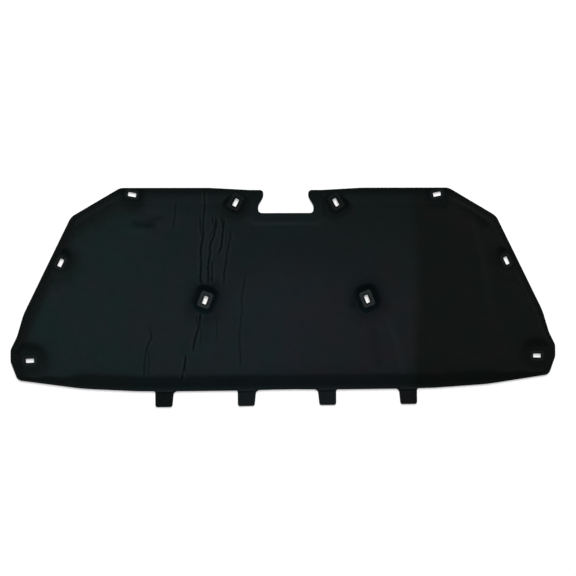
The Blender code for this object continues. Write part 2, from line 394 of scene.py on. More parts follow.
@dataclass(frozen=True)
class FieldSide:
    """A stretch of the thick field's edge, with the flange and the wall beside it."""

    corners: tuple[Two, ...]
    flange: float
    run: float
    is_straight: bool = False
    taper: float = 0.0

    CRISPNESS = 0.60
    TAPER = Ramp(0.37, 0.06)

    def share(self, points: Array) -> Array:
        """Measures how much of the wall lies behind each point.

        Args:
            points: places in plan.

        Returns:
            0 at the wall's foot and 1 at its crown, and less or more beyond them.
        """
        gap, along = to_polyline(points, np.array(self.corners))
        run = self.run * (1.0 - self.taper * self.TAPER.rising(np.abs(along - 0.5)))
        covered = (gap - self.flange) / run
        if not self.is_straight:
            return covered
        crisp = covered + self.CRISPNESS * (uneased(covered) - covered)
        return np.where((covered > 0.0) & (covered < 1.0), crisp, covered)

    def mirrored(self) -> "FieldSide":
        """The same stretch on the left half."""
        return replace(self, corners=tuple((-x, depth) for x, depth in self.corners))


@dataclass(frozen=True)
class Crease:
    """Where the facing cracked as the sheet was bent, as a polyline in the part's frame."""

    line: tuple[Two, ...]
    depth: float
    width: float = 0.0011
    side_cracks: int = 0


class Crack:
    """A crease worked out in full: a ragged line whose depth changes along it.

    The stripes lie across it, in its own half widths: the open crack, the lip and the wide bend beside it,
    and then what the facing shows of it: a soft band of painted shade, and a painted highlight along its
    edge.
    """

    STEP = 0.0035
    WANDER = 0.0006
    WANDER_SPAN = 7
    RAG = 0.0003
    UNEVEN = (0.45, 1.45)
    UNEVEN_SPAN = 5
    FADE = 0.10
    CORE = Stripe(0.0, 1.0)
    LIP = Stripe(2.2, 1.0, 0.22)
    BEND = Stripe(0.0, 6.0, 0.30)
    SHADE_BAND = Stripe(0.0, 3.6, 0.30)
    EDGE_HIGHLIGHT = Stripe(5.2, 1.6)
    DARKNESS = 1.4
    FULL_DEPTH = 0.0015
    SIDE_STEPS = (4, 14)
    SIDE_REACH = (0.004, 0.010)
    SIDE_NEARING = (0.5, 1.0)
    SIDE_DEPTH = (0.30, 0.60)
    SIDE_WIDTH = 0.75

    def __init__(self, line: Array, depth: float, width: float, draw: np.random.Generator) -> None:
        """Lays the ragged line.

        Args:
            line: corners of the crease.
            depth: how deep the crack is where it is deepest.
            width: half width of the crack.
            draw: the source of its raggedness.
        """
        travelled = np.concatenate([[0.0], np.cumsum(np.hypot(*np.diff(line, axis=0).T))])
        count = max(3, round(travelled[-1] / self.STEP) + 1)
        stops = np.linspace(0.0, travelled[-1], count)
        path = np.column_stack([np.interp(stops, travelled, line[:, k]) for k in (0, 1)])
        run = np.gradient(path, axis=0)
        run /= np.hypot(*run.T)[:, None]
        kernel = np.ones(self.WANDER_SPAN) / math.sqrt(self.WANDER_SPAN)
        slow = np.convolve(draw.normal(0.0, 1.0, count + self.WANDER_SPAN - 1), kernel, "valid")
        shift = slow * self.WANDER + draw.normal(0.0, 1.0, count) * self.RAG
        self.line = path + np.column_stack([-run[:, 1], run[:, 0]]) * shift[:, None]
        self.run = run
        self.depth = depth
        self.width = width
        uneven = draw.uniform(*self.UNEVEN, count + self.UNEVEN_SPAN - 1)
        kernel = np.ones(self.UNEVEN_SPAN) / self.UNEVEN_SPAN
        self.strength = np.clip(np.convolve(uneven, kernel, "valid"), 0.5, 1.0)

    def near(self, points: Array, reach: float) -> Array:
        """Which points lie within reach of the crack's own box."""
        low, high = self.line.min(axis=0) - reach, self.line.max(axis=0) + reach
        return ((points > low) & (points < high)).all(axis=1)

    def groove(self, points: Array) -> tuple[Array, Array, Array]:
        """Cuts the crack.

        Args:
            points: places in the part's frame.

        Returns:
            The change in height, then how much of a crack with its painted shade, and how much of the
            painted highlight along its edge, each place has, from 0 to 1.
        """
        change, share, painted_highlight = np.zeros((3, len(points)))
        close = self.near(points, self.width * self.BEND.width * 2)
        gap, along = to_polyline(points[close], self.line)
        gap /= self.width
        fade = eased(along / self.FADE) * eased((1.0 - along) / self.FADE)
        fade *= np.interp(along, np.linspace(0.0, 1.0, len(self.strength)), self.strength)
        core = self.CORE.at(gap)
        change[close] = self.depth * fade * (self.LIP.at(gap) - core - self.BEND.at(gap))
        full = fade * min(1.0, self.depth / self.FULL_DEPTH)
        # Painted shade in the crack and in a soft band beside it.
        share[close] = full * np.minimum(1.0, core * self.DARKNESS + self.SHADE_BAND.at(gap))
        # Painted highlight along the crack's edge.
        painted_highlight[close] = full * self.EDGE_HIGHLIGHT.at(gap)
        return change, share, painted_highlight

    def side_crack(self, draw: np.random.Generator) -> "Crack":
        """Lays a short, shallower crack that runs beside this one and nears it at one end.

        Args:
            draw: the source of its place and raggedness.

        Returns:
            The side crack.
        """
        last = len(self.line) - 1
        start = int(draw.integers(0, max(1, last - self.SIDE_STEPS[0])))
        end = min(last, start + int(draw.integers(*self.SIDE_STEPS)))
        across = np.column_stack([-self.run[start : end + 1, 1], self.run[start : end + 1, 0]])
        reach = float(draw.choice([-1.0, 1.0]) * draw.uniform(*self.SIDE_REACH))
        apart = np.linspace(*draw.permutation(self.SIDE_NEARING), end + 1 - start)
        line = self.line[start : end + 1] + across * (reach * apart)[:, None]
        depth = self.depth * float(draw.uniform(*self.SIDE_DEPTH))
        return Crack(line, depth, self.width * self.SIDE_WIDTH, draw)


@dataclass(frozen=True)
class Swale:
    """A wide soft dent, or a ridge where its height is above 0, along a polyline.

    Its tone is how much painted shade darkens its felt, or, where it is below 0, how much a painted
    highlight makes it paler; its drain is how much the felt loses its tint.
    """

    line: tuple[Two, ...]
    height: float
    width: float
    tone: float = 0.0
    drain: float = 0.0

    START = Ramp(-0.09, 0.30)

    def profile(self, points: Array) -> Array:
        """How much of the swale each place in the part's frame has, from 0 to 1: it starts faint."""
        gap, along = to_polyline(points, np.array(self.line))
        return bell(gap, self.width) * self.START.rising(along)


@dataclass
class PadPlan:
    """The pad's sizes in plan and in height. Depth runs from the tab edge to the notched edge.

    The outline's places are those of its right half. Each edge and slope of the thick field is given
    by its flange and the width of its wall.
    """

    half_width: float = 0.680
    depth: float = 0.505
    arch_rise: float = 0.0023
    arch_lowest: float = 0.200
    arch_top: float = 0.025
    tab_pitch: float = 0.204
    tab_width: float = 0.042
    tab_length: float = 0.0385
    tab_flare: float = 0.004
    tab_edge_end: float = 0.372
    sweep: Two = (0.505, 0.0095)
    lobe: Two = (0.663, 0.032)
    lobe_sides: Two = (0.078, 0.107)
    waist: Two = (0.648, 0.194)
    shoulder: Two = (0.531, 0.4336)
    top_end: float = 0.410
    notch_mouth: float = 0.112
    notch_floor: float = 0.138
    notch_drop: float = 0.0575
    dip: float = 0.0055
    side_edge: Two = (0.009, 0.017)
    top_edge: Two = (0.009, 0.036)
    notch_edge: Two = (0.020, 0.012)
    tab_slope: Two = (0.004, 0.032)
    tab_slope_taper: float = 0.45
    rim: float = 0.004
    tab: float = 0.0025
    loft: float = 0.016
    pocket_floor: float = 0.0044
    plateau_rise: float = 0.0016
    plateau: Three = (0.040, 0.030, 0.006)
    slot: Three = (0.020, 0.010, 0.0018)
    foot: float = 0.003
    seats: tuple[ClipSeat, ...] = (
        ClipSeat(
            "middle", 0.202, 0.226, 111, 0.048, 0.038, 0, 0, 0.016, True,
            Halo(0.96, 0.000, 0.018, haze=0.56),
        ),
        ClipSeat(
            "notch", 0.125, 0.4683, 118, 0.048, 0.038, 0, 0, 0.012, True,
            Halo(0.74, 0.003, 0.030, haze=0.20, drain=1.2), painted_highlight=0.22,
        ),
        ClipSeat(
            "top", 0.3806, 0.4884, 11, 0.038, 0.042, 0, 0.008, 0.014, False,
            Halo(0.78, 0.004, 0.046, drain=1.5),
        ),
        ClipSeat(
            "side", 0.5565, 0.3205, 116, 0.044, 0.050, 0, -0.010, 0.022, False,
            Halo(0.50, 0.008, 0.060, drain=1.5), corner=0.020,
        ),
        ClipSeat(
            "lower", 0.633, 0.080, -2, 0.058, 0.050, 0.004, -0.004, 0.032, False,
            Halo(0.43, 0.010, 0.056, drain=1.4), corner=0.022,
        ),
    )

    @property
    def centre(self) -> float:
        """Depth of the part's own origin."""
        return (self.depth - self.tab_length) / 2

    @property
    def tab_centres(self) -> Two:
        """Distances of the tabs from the centre line."""
        return self.tab_pitch / 2, self.tab_pitch * 1.5

    def edge_depth(self, x: float | Array) -> float | Array:
        """Depth of the tab edge at a distance from the centre line."""
        return self.arch_rise * (x / self.arch_lowest - 1) ** 2

    def rim_corners(self) -> list[Corner]:
        """Lays out the whole outline.

        Returns:
            Its corners, counterclockwise from the centre of the tab edge.
        """
        half = [Corner(self.arch_top, self.edge_depth(self.arch_top), 0.600)]
        for middle in self.tab_centres:
            inner, outer = middle - self.tab_width / 2, middle + self.tab_width / 2
            flared = inner - self.tab_flare
            half += [
                Corner(flared, self.edge_depth(flared), 0.010),
                Corner(inner, -self.tab_length, 0.006),
                Corner(outer, -self.tab_length, 0.006),
                Corner(outer, self.edge_depth(outer), 0.004),
            ]
        mouth = self.depth - self.dip
        floor = mouth - self.notch_drop
        half += [
            Corner(self.tab_edge_end, self.edge_depth(self.tab_edge_end), 0.600),
            Corner(*self.sweep, 0.600),
            Corner(*self.lobe, 0.018),
            *(Corner(self.half_width, depth, 0.022) for depth in self.lobe_sides),
            Corner(0.664, 0.140, 0.060),
            Corner(*self.waist, 0.150),
            Corner(*self.shoulder, 0.035),
            Corner(self.top_end, self.depth, 0.030),
            Corner(0.190, self.depth, 0.200),
            Corner(0.090, mouth, 0.200),
            Corner(self.notch_mouth / 2, mouth, 0.010),
            Corner(self.notch_mouth / 2, mouth - 0.017, 0.020),
            Corner(self.notch_floor / 2, floor + 0.018, 0.010),
            Corner(self.notch_floor / 2, floor, 0.010),
        ]
        return half + [corner.mirrored() for corner in reversed(half)]

    def field_sides(self) -> list[FieldSide]:
        """Lays out the stretches of edge that the thick field keeps its distance from.

        Returns:
            The tab edge, the notch, and then flank, shoulder and top, right before left.
        """
        low_end = (self.tab_edge_end, self.edge_depth(self.tab_edge_end))
        right = (low_end, self.sweep, self.lobe)
        left = tuple((-x, depth) for x, depth in reversed(right))
        floor = self.depth - self.dip - self.notch_drop
        half = self.notch_floor / 2
        notch = ((half, self.depth), (half, floor), (-half, floor), (-half, self.depth))
        lobe = (self.lobe, *((self.half_width, depth) for depth in self.lobe_sides))
        top_end = (self.top_end, self.depth)
        paired = [
            FieldSide((*lobe, self.waist, self.shoulder), *self.side_edge),
            FieldSide((self.shoulder, top_end), *self.side_edge),
            FieldSide((top_end, (half, self.depth)), *self.top_edge),
        ]
        return [
            FieldSide(left + right, *self.tab_slope, True, self.tab_slope_taper),
            FieldSide(notch, *self.notch_edge),
            *paired,
            *(stretch.mirrored() for stretch in paired),
        ]

    def slots(self, spacing: float) -> list[Loop]:
        """The outline of each clip slot."""
        rings = [seat.ring(side, *self.slot) for seat in self.seats for side in Side]
        return [Loop(ring, spacing, is_hole=True) for ring in rings]


@dataclass(frozen=True)
class Shading:
    """How the pad's shapes show in its facing.

    Each ramp and stripe runs over a distance in plan, or over a share of a wall. The strengths are those
    of the marks: bright with painted sheen and highlights, bare where the tint is gone, and dark with
    painted shade or a darker tone.
    """

    tab: Ramp = Ramp(0.0, 0.004)
    tab_bare: Four = (1.0, 0.30, 0.25, 0.70)
    tab_shade: float = 0.40
    # Painted shade in the fold at a tab's root, and between its ribs.
    tab_root: Stripe = Stripe(0.0042, 0.0018, 0.70)
    ribs: float = 0.42
    # A painted highlight along each tab's fold.
    fold: Stripe = Stripe(-0.0010, 0.0014, 0.40)
    fold_reach: float = 0.023
    # Strength of the painted highlight along the cracks' edges.
    crack_edge: float = 0.30
    plateau_reach: float = 0.004
    # Painted sheen on the plateaus and in the frame about a slot.
    plateau_lip: Stripe = Stripe(-0.0024, 0.0020)
    plateau_top: Ramp = Ramp(0.0, 0.003, 0.45)
    plateau_foot: Ramp = Ramp(0.0, 0.002)
    slot_clear: Ramp = Ramp(0.0012, 0.002)
    slot_frame: Stripe = Stripe(0.0048, 0.0026, 0.30)
    # Painted shade at a slot's edge.
    slot_edge: Ramp = Ramp(0.0006, 0.0016, 0.85)
    # Painted shade on the tab-edge slope, which faces away from the light, weaker towards its ends.
    slope_wall: Ramp = Ramp(0.98, 0.30)
    slope: float = 0.46
    slope_right: Ramp = Ramp(0.30, 0.06, 0.14)
    slope_left: Ramp = Ramp(0.33, 0.10, 0.16)
    slope_corner: Ramp = Ramp(0.49, 0.07, 0.20)
    slope_bare: Ramp = Ramp(0.33, 0.10, 0.55)
    # A darker band along the top edge.
    top: Ramp = Ramp(-0.2, 2.2, 0.56)
    top_bare: Ramp = Ramp(-0.3, 1 / 0.7, 0.7)
    # Painted shade on the walls of the flanks and shoulders.
    flank: Ramp = Ramp(0.4, 1 / 0.7, 0.36)
    flank_bare: Ramp = Ramp(0.5, 1 / 0.52)
    shoulder_share: float = 0.6
    shoulder_bare: Ramp = Ramp(0.3, 1 / 0.24, 0.9)


@dataclass
class WearAndShading:
    """Creases and dents that the sheet took when it was packed and bent, and the painted shade and
    highlights with which its facing shows them and the pad's other shapes.
    """

    creases: tuple[Crease, ...] = (
        Crease(
            ((-0.203, 0.264), (-0.203, 0.248), (-0.201, 0.221), (-0.204, 0.195), (-0.206, 0.166)),
            0.0011, 0.0010,
        ),
        Crease(
            (
                (-0.2055, 0.188), (-0.2065, 0.146), (-0.211, 0.123), (-0.213, 0.093),
                (-0.211, 0.074), (-0.213, 0.047), (-0.211, 0.024),
            ),
            0.0018, side_cracks=2,
        ),
        Crease(
            (
                (-0.174, 0.199), (-0.176, 0.172), (-0.180, 0.150), (-0.189, 0.123),
                (-0.192, 0.100), (-0.194, 0.077), (-0.195, 0.047), (-0.193, 0.024),
            ),
            0.0019, side_cracks=2,
        ),
        Crease(
            ((-0.155, 0.199), (-0.155, 0.180), (-0.157, 0.157), (-0.161, 0.126), (-0.171, 0.104)),
            0.0017, side_cracks=1,
        ),
        Crease(
            ((-0.138, 0.161), (-0.146, 0.108), (-0.152, 0.070), (-0.154, 0.047), (-0.155, 0.026)),
            0.0010, side_cracks=1,
        ),
        Crease(
            ((-0.212, -0.036), (-0.219, -0.074), (-0.223, -0.093), (-0.229, -0.119), (-0.233, -0.137)),
            0.0019, side_cracks=1,
        ),
        Crease(
            ((-0.251, -0.143), (-0.252, -0.149), (-0.254, -0.176), (-0.263, -0.206)),
            0.0017, side_cracks=1,
        ),
        Crease(
            (
                (-0.101, 0.062), (-0.111, 0.001), (-0.111, -0.037),
                (-0.117, -0.082), (-0.117, -0.128), (-0.116, -0.181),
            ),
            0.0007,
        ),
        Crease(((-0.272, 0.237), (-0.274, 0.207), (-0.280, 0.169)), 0.0009),
        Crease(
            ((-0.340, -0.068), (-0.334, -0.098), (-0.346, -0.127), (-0.352, -0.172), (-0.353, -0.199)),
            0.0009, side_cracks=1,
        ),
        Crease(((-0.175, -0.051), (-0.174, -0.112)), 0.0005),
        Crease(((-0.212, 0.199), (-0.212, 0.161), (-0.209, 0.140)), 0.0012, 0.0009),
        Crease(((-0.185, 0.090), (-0.185, 0.068), (-0.184, 0.036)), 0.0014, 0.0010),
        Crease(((-0.162, 0.199), (-0.160, 0.184), (-0.157, 0.167)), 0.0014, 0.0009),
        Crease(((-0.140, 0.164), (-0.138, 0.142)), 0.0010, 0.0009),
        Crease(((-0.183, 0.197), (-0.181, 0.179)), 0.0012, 0.0009),
        Crease(((-0.172, 0.193), (-0.172, 0.169)), 0.0011, 0.0009),
        Crease(((-0.343, -0.127), (-0.340, -0.162), (-0.341, -0.197)), 0.0008, 0.0009),
        Crease(((-0.214, -0.062), (-0.212, -0.122)), 0.0006, 0.0010),
    )
    swales: tuple[Swale, ...] = (
        Swale(((-0.382, 0.170), (-0.357, 0.172), (-0.337, 0.181), (-0.313, 0.190)), -0.0032, 0.009),
        Swale(((-0.391, 0.199), (-0.374, 0.203), (-0.357, 0.196)), -0.0020, 0.008),
        Swale(((-0.335, 0.199), (-0.312, 0.201)), 0.0014, 0.009),
        Swale(((-0.384, 0.190), (-0.364, 0.184), (-0.342, 0.173)), 0.0, 0.009, 0.42),
        Swale(((-0.350, 0.176), (-0.328, 0.177)), 0.0, 0.007, 0.72),
        Swale(((0.247, -0.055), (0.260, -0.086), (0.277, -0.131), (0.289, -0.191)), 0.0016, 0.008, -0.10),
        Swale(((0.214, -0.073), (0.219, -0.123), (0.229, -0.166)), -0.0010, 0.014, 0.20),
        Swale(((0.457, 0.220), (0.475, 0.160), (0.502, 0.036), (0.509, -0.025)), 0.0010, 0.008, -0.05),
        Swale(((-0.500, 0.157), (-0.482, 0.155)), 0.0012, 0.010, -0.05),
        Swale(((-0.213, 0.026), (-0.192, 0.022), (-0.180, 0.028)), 0.0, 0.016, 0.50),
        Swale(((-0.186, 0.240), (-0.160, 0.228), (-0.142, 0.208)), 0.0, 0.022, 0.24, 0.50),
        Swale(((0.169, 0.002), (0.167, -0.022)), 0.0, 0.015, 0.62),
        Swale(((0.515, 0.170), (0.455, 0.216)), 0.0, 0.016, 0.58, 0.30),
    )
    seed: int = 31
    shading: Shading = Shading()

    def cracks(self) -> list[Crack]:
        """Works out all creases with their side cracks.

        Returns:
            The cracks, each crease's own before its side cracks.
        """
        draw = np.random.default_rng(self.seed)
        made = []
        for crease in self.creases:
            main = Crack(np.array(crease.line), crease.depth, crease.width, draw)
            made += [main, *(main.side_crack(draw) for _ in range(crease.side_cracks))]
        return made


class Relief:
    """The height of the pressed felt over its plan, as the CAD solid has it but with soft edges."""

    CORNER_BLEND = 0.35
    POCKET_LIP = 0.0014
    POCKET_SLACK = 0.0004
    POCKET_CLEAR = 0.01
    POCKET_FAR = 3.0
    FOOT_BLEND = 0.0009
    PLATEAU_EDGE = 0.0016
    PLATEAU_LIP = Stripe(-0.0024, 0.0014, 0.0006)
    TAB_EDGE_HIGHEST = 0.0025
    TAB_STEP = Ramp(0.001, 0.004)
    TAB_FOLD = Stripe(0.0042, 0.0016, 0.0007)
    RIB_PITCH = 0.0084
    RIB_START = Ramp(0.010, 0.006, 0.00030)
    BAND = Ramp(0.009, 0.002)
    BAND_DEPTH = 0.00035
    BAND_PITCH = 0.0048
    # How far the pockets' painted shade is shifted, to the side where the light leaves them in shade.
    HALO_DRIFT = 0.0035

    def __init__(self, plan: PadPlan, wear_and_shading: WearAndShading) -> None:
        """Lays out what shapes the heights.

        Args:
            plan: the pad's sizes.
            wear_and_shading: its creases and dents, and the painted shade and highlights of its facing.
        """
        self.plan = plan
        self.wear_and_shading = wear_and_shading
        self.cracks = wear_and_shading.cracks()
        self.sides = plan.field_sides()
        self.seats = [(seat, side) for seat in plan.seats for side in Side]
        self.slow = Unevenness(0.160, 0.00022, 11)
        self.quick = Unevenness(0.034, 0.00007, 12)
        self.fine = Unevenness(0.012, 0.00005, 13)
        self.rim_mottle = Unevenness(0.007, 0.00010, 14)

    def in_plan(self, points: Array) -> Array:
        """Places in the part's frame as distance across and depth."""
        return points + [0.0, self.plan.centre]

    def wall_share(self, places: Array) -> Array:
        """How far up the field's wall each place is: 0 on the rim, 1 on the field."""
        shares = (stretch.share(places) for stretch in self.sides)
        return reduce(lambda low, share: soft_min(low, share, self.CORNER_BLEND), shares)

    def pockets(self, places: Array) -> tuple[Array, Array, Array, Array]:
        """Measures places against the clip seats.

        Args:
            places: places in plan.

        Returns:
            Signed distance to the nearest pocket floor as a share of its walls, signed distance to the
            nearest slot, how much painted shade the pockets lay on the felt, and how free of tint they
            make it.
        """
        share = np.full(len(places), np.inf)
        slot = np.full(len(places), np.inf)
        dark, drained = np.zeros((2, len(places)))
        for seat, side in self.seats:
            share = np.minimum(share, seat.floor_gap(places, side) / seat.flare)
            slot = np.minimum(slot, rounded_box(*seat.local(places, side), *self.plan.slot))
            # Painted shade in and about the pocket, shifted with the light, and the tint it drains.
            halo = seat.halo.at(seat.floor_gap(places + [0.0, self.HALO_DRIFT], side))
            dark = np.maximum(dark, halo)
            drained = np.maximum(drained, seat.halo.drain * halo)
        return share, slot, dark, np.minimum(drained, 1.0)

    def plateaus(self, places: Array) -> tuple[Array, Array]:
        """Measures places against the raised plateaus.

        Args:
            places: places in plan.

        Returns:
            Signed distance to the nearest plateau, and how strong its seat's painted highlight is.
        """
        gap = np.full(len(places), np.inf)
        painted_highlight = np.ones(len(places))
        for seat, side in self.seats:
            if seat.has_plateau:
                inside = rounded_box(*seat.local(places, side), *self.plan.plateau)
                painted_highlight = np.where(inside < gap, seat.painted_highlight, painted_highlight)
                gap = np.minimum(gap, inside)
        return gap, painted_highlight

    def tab_reach(self, places: Array) -> Array:
        """How far each place lies out on a tab, past the tab edge."""
        edge = self.plan.edge_depth(np.abs(places[:, 0]))
        return np.minimum(edge, self.TAB_EDGE_HIGHEST) - places[:, 1]

    def felt(self, points: Array) -> Array:
        """Works out the height of the pressed felt, before wear.

        Args:
            points: places in the part's frame.

        Returns:
            The height at each place.
        """
        plan = self.plan
        places = self.in_plan(points)
        field_top = plan.foot + (plan.loft - plan.foot) * eased(self.wall_share(places))
        share = self.pockets(places)[0]
        top = plan.loft + self.POCKET_SLACK
        pocket = plan.pocket_floor + (top - plan.pocket_floor) * eased(share)
        pocket = pocket + np.maximum(np.minimum(share, self.POCKET_FAR) - 1.0, 0.0) * self.POCKET_CLEAR
        height = soft_min(field_top, pocket, self.POCKET_LIP)
        height = soft_max(height, np.full(len(points), plan.rim), self.FOOT_BLEND)
        inside = self.plateaus(places)[0]
        raised = plan.pocket_floor + plan.plateau_rise * eased(0.5 - inside / self.PLATEAU_EDGE)
        raised += self.PLATEAU_LIP.at(inside)
        height = np.where(inside < self.PLATEAU_EDGE, np.maximum(height, raised), height)
        out = self.tab_reach(places)
        stepped = plan.rim - (plan.rim - plan.tab) * self.TAB_STEP.rising(out)
        return np.where(out > 0.0, stepped + self.tab_ribs(places, out), height)

    def tab_offset(self, places: Array) -> Array:
        """How far across each place lies from the nearest tab's centre line."""
        pitch = self.plan.tab_pitch
        return places[:, 0] - (np.floor(places[:, 0] / pitch) + 0.5) * pitch

    def rib_wave(self, places: Array) -> Array:
        """The tabs' ribs as a wave: 1 on each rib, and -1 between two."""
        return np.cos(2 * math.pi * self.tab_offset(places) / self.RIB_PITCH)

    def tab_ribs(self, places: Array, out: Array) -> Array:
        """Works out the faint ribs along each tab, the thin pressed band at its end, and its fold.

        Args:
            places: places in plan.
            out: how far each lies out on a tab.

        Returns:
            The change in height at each place.
        """
        to_end = self.plan.tab_length - out
        band = self.BAND.falling(to_end)
        ribs = self.RIB_START.rising(out) * self.rib_wave(places) * (1.0 - band)
        ripple = 1.0 + np.cos(2 * math.pi * to_end / self.BAND_PITCH)
        return ribs - self.BAND_DEPTH * band * ripple - self.TAB_FOLD.at(out)

    def top(self, points: Array) -> Array:
        """Works out the height of the facing, with wear and the felt's own unevenness.

        Args:
            points: places in the part's frame.

        Returns:
            The height at each place.
        """
        height = self.felt(points)
        places = self.in_plan(points)
        on_field = eased(self.wall_share(places)) * eased(self.pockets(places)[0])
        height += on_field * (self.slow.at(points) + self.quick.at(points)) + self.fine.at(points)
        height += (1.0 - on_field) * self.rim_mottle.at(points)
        for swale in self.wear_and_shading.swales:
            height += swale.height * swale.profile(points)
        for crack in self.cracks:
            height += crack.groove(points)[0]
        return height

    def marks(self, points: Array) -> dict[Mark, Array]:
        """Works out what the finish needs to know at each place.

        Args:
            points: places in the part's frame.

        Returns:
            For each mark, its value from 0 to 1 at each place: the highest of its layers.
        """
        places = self.in_plan(points)
        layers = {mark: [] for mark in Mark}
        self._mark_wear(points, layers)
        self._mark_seats(places, layers)
        self._mark_tabs(places, layers)
        self._mark_walls(places, layers)
        return {mark: np.maximum.reduce(values) for mark, values in layers.items()}

    def _mark_wear(self, points: Array, layers: dict[Mark, list[Array]]) -> None:
        """Adds the marks of the cracks and swales: painted shade in and beside the cracks, painted
        highlights along their edges, and the swales' painted shade and highlights.

        Args:
            points: places in the part's frame.
            layers: each mark's values so far.
        """
        for crack in self.cracks:
            _, cut, edge = crack.groove(points)
            layers[Mark.CREASE].append(cut)
            layers[Mark.PAINTED_SHEEN_AND_GLOSS].append(self.wear_and_shading.shading.crack_edge * edge)
        for swale in self.wear_and_shading.swales:
            profile = swale.profile(points)
            # A swale's tone below 0 is a painted highlight, above 0 painted shade.
            layers[Mark.PAINTED_SHEEN_AND_GLOSS].append(-swale.tone * profile)
            layers[Mark.SHADE].append(swale.tone * profile)
            layers[Mark.RIM].append(swale.drain * profile)

    def _mark_seats(self, places: Array, layers: dict[Mark, list[Array]]) -> None:
        """Adds the marks of the pockets, plateaus and slots: painted sheen on the plateaus and about the
        slots, painted shade in the pockets and at the slots' edges, and the tint that the pockets drain.

        Args:
            places: places in plan.
            layers: each mark's values so far.
        """
        tone = self.wear_and_shading.shading
        _, slot, dark, drained = self.pockets(places)
        inside, seat_wear = self.plateaus(places)
        by_plateau = inside < tone.plateau_reach
        plateau = tone.plateau_top.rising(-inside) * tone.slot_clear.rising(slot)
        framed = np.maximum(tone.plateau_lip.at(inside), plateau) * seat_wear
        layers[Mark.PAINTED_SHEEN_AND_GLOSS].append(np.where(by_plateau, framed, tone.slot_frame.at(slot)))
        layers[Mark.RIM].append(drained)
        layers[Mark.SHADE] += [
            dark * np.where(by_plateau, tone.plateau_foot.rising(inside), 1.0),
            tone.slot_edge.falling(slot),
        ]

    def _mark_tabs(self, places: Array, layers: dict[Mark, list[Array]]) -> None:
        """Adds the marks of the tabs, their ribs and their folds: a painted highlight along each fold, the
        barer and darker tone of some tabs, and painted shade at their roots and between the ribs.

        Args:
            places: places in plan.
            layers: each mark's values so far.
        """
        tone = self.wear_and_shading.shading
        out = self.tab_reach(places)
        on_tab = tone.tab.rising(out)
        last = len(tone.tab_bare) - 1
        number = np.clip(np.floor(places[:, 0] / self.plan.tab_pitch) + 2, 0, last).astype(int)
        bare = on_tab * np.array(tone.tab_bare)[number]
        by_tab = np.abs(self.tab_offset(places)) < tone.fold_reach
        layers[Mark.PAINTED_SHEEN_AND_GLOSS].append(tone.fold.at(out) * by_tab)
        layers[Mark.RIM].append(bare)
        layers[Mark.SHADE] += [
            tone.tab_shade * bare,
            tone.tab_root.at(out),
            tone.ribs * on_tab * (0.5 - 0.5 * self.rib_wave(places)),
        ]

    def _mark_walls(self, places: Array, layers: dict[Mark, list[Array]]) -> None:
        """Adds the marks of the thick field's walls: painted shade on the tab-edge slope and on the flanks
        and shoulders, a darker band along the top edge, and their barer tint.

        Args:
            places: places in plan.
            layers: each mark's values so far.
        """
        tone = self.wear_and_shading.shading
        x = places[:, 0]
        low, _, *walls = [stretch.share(places) for stretch in self.sides]
        flank, shoulder, top = (np.minimum(*pair) for pair in zip(walls[:3], walls[3:]))
        slope = tone.slope_wall.falling(low) * (1.0 - tone.tab.rising(self.tab_reach(places)))
        ends = tone.slope_right.rising(x) + tone.slope_left.rising(-x) + tone.slope_corner.rising(-x)
        layers[Mark.RIM] += [
            slope * tone.slope_bare.rising(-x),
            tone.flank_bare.falling(flank),
            tone.shoulder_bare.falling(shoulder),
            tone.top_bare.falling(top),
        ]
        layers[Mark.SHADE] += [
            slope * (tone.slope - ends),
            tone.flank.falling(np.minimum(flank, shoulder * tone.shoulder_share)),
            tone.top.falling(top),
        ]


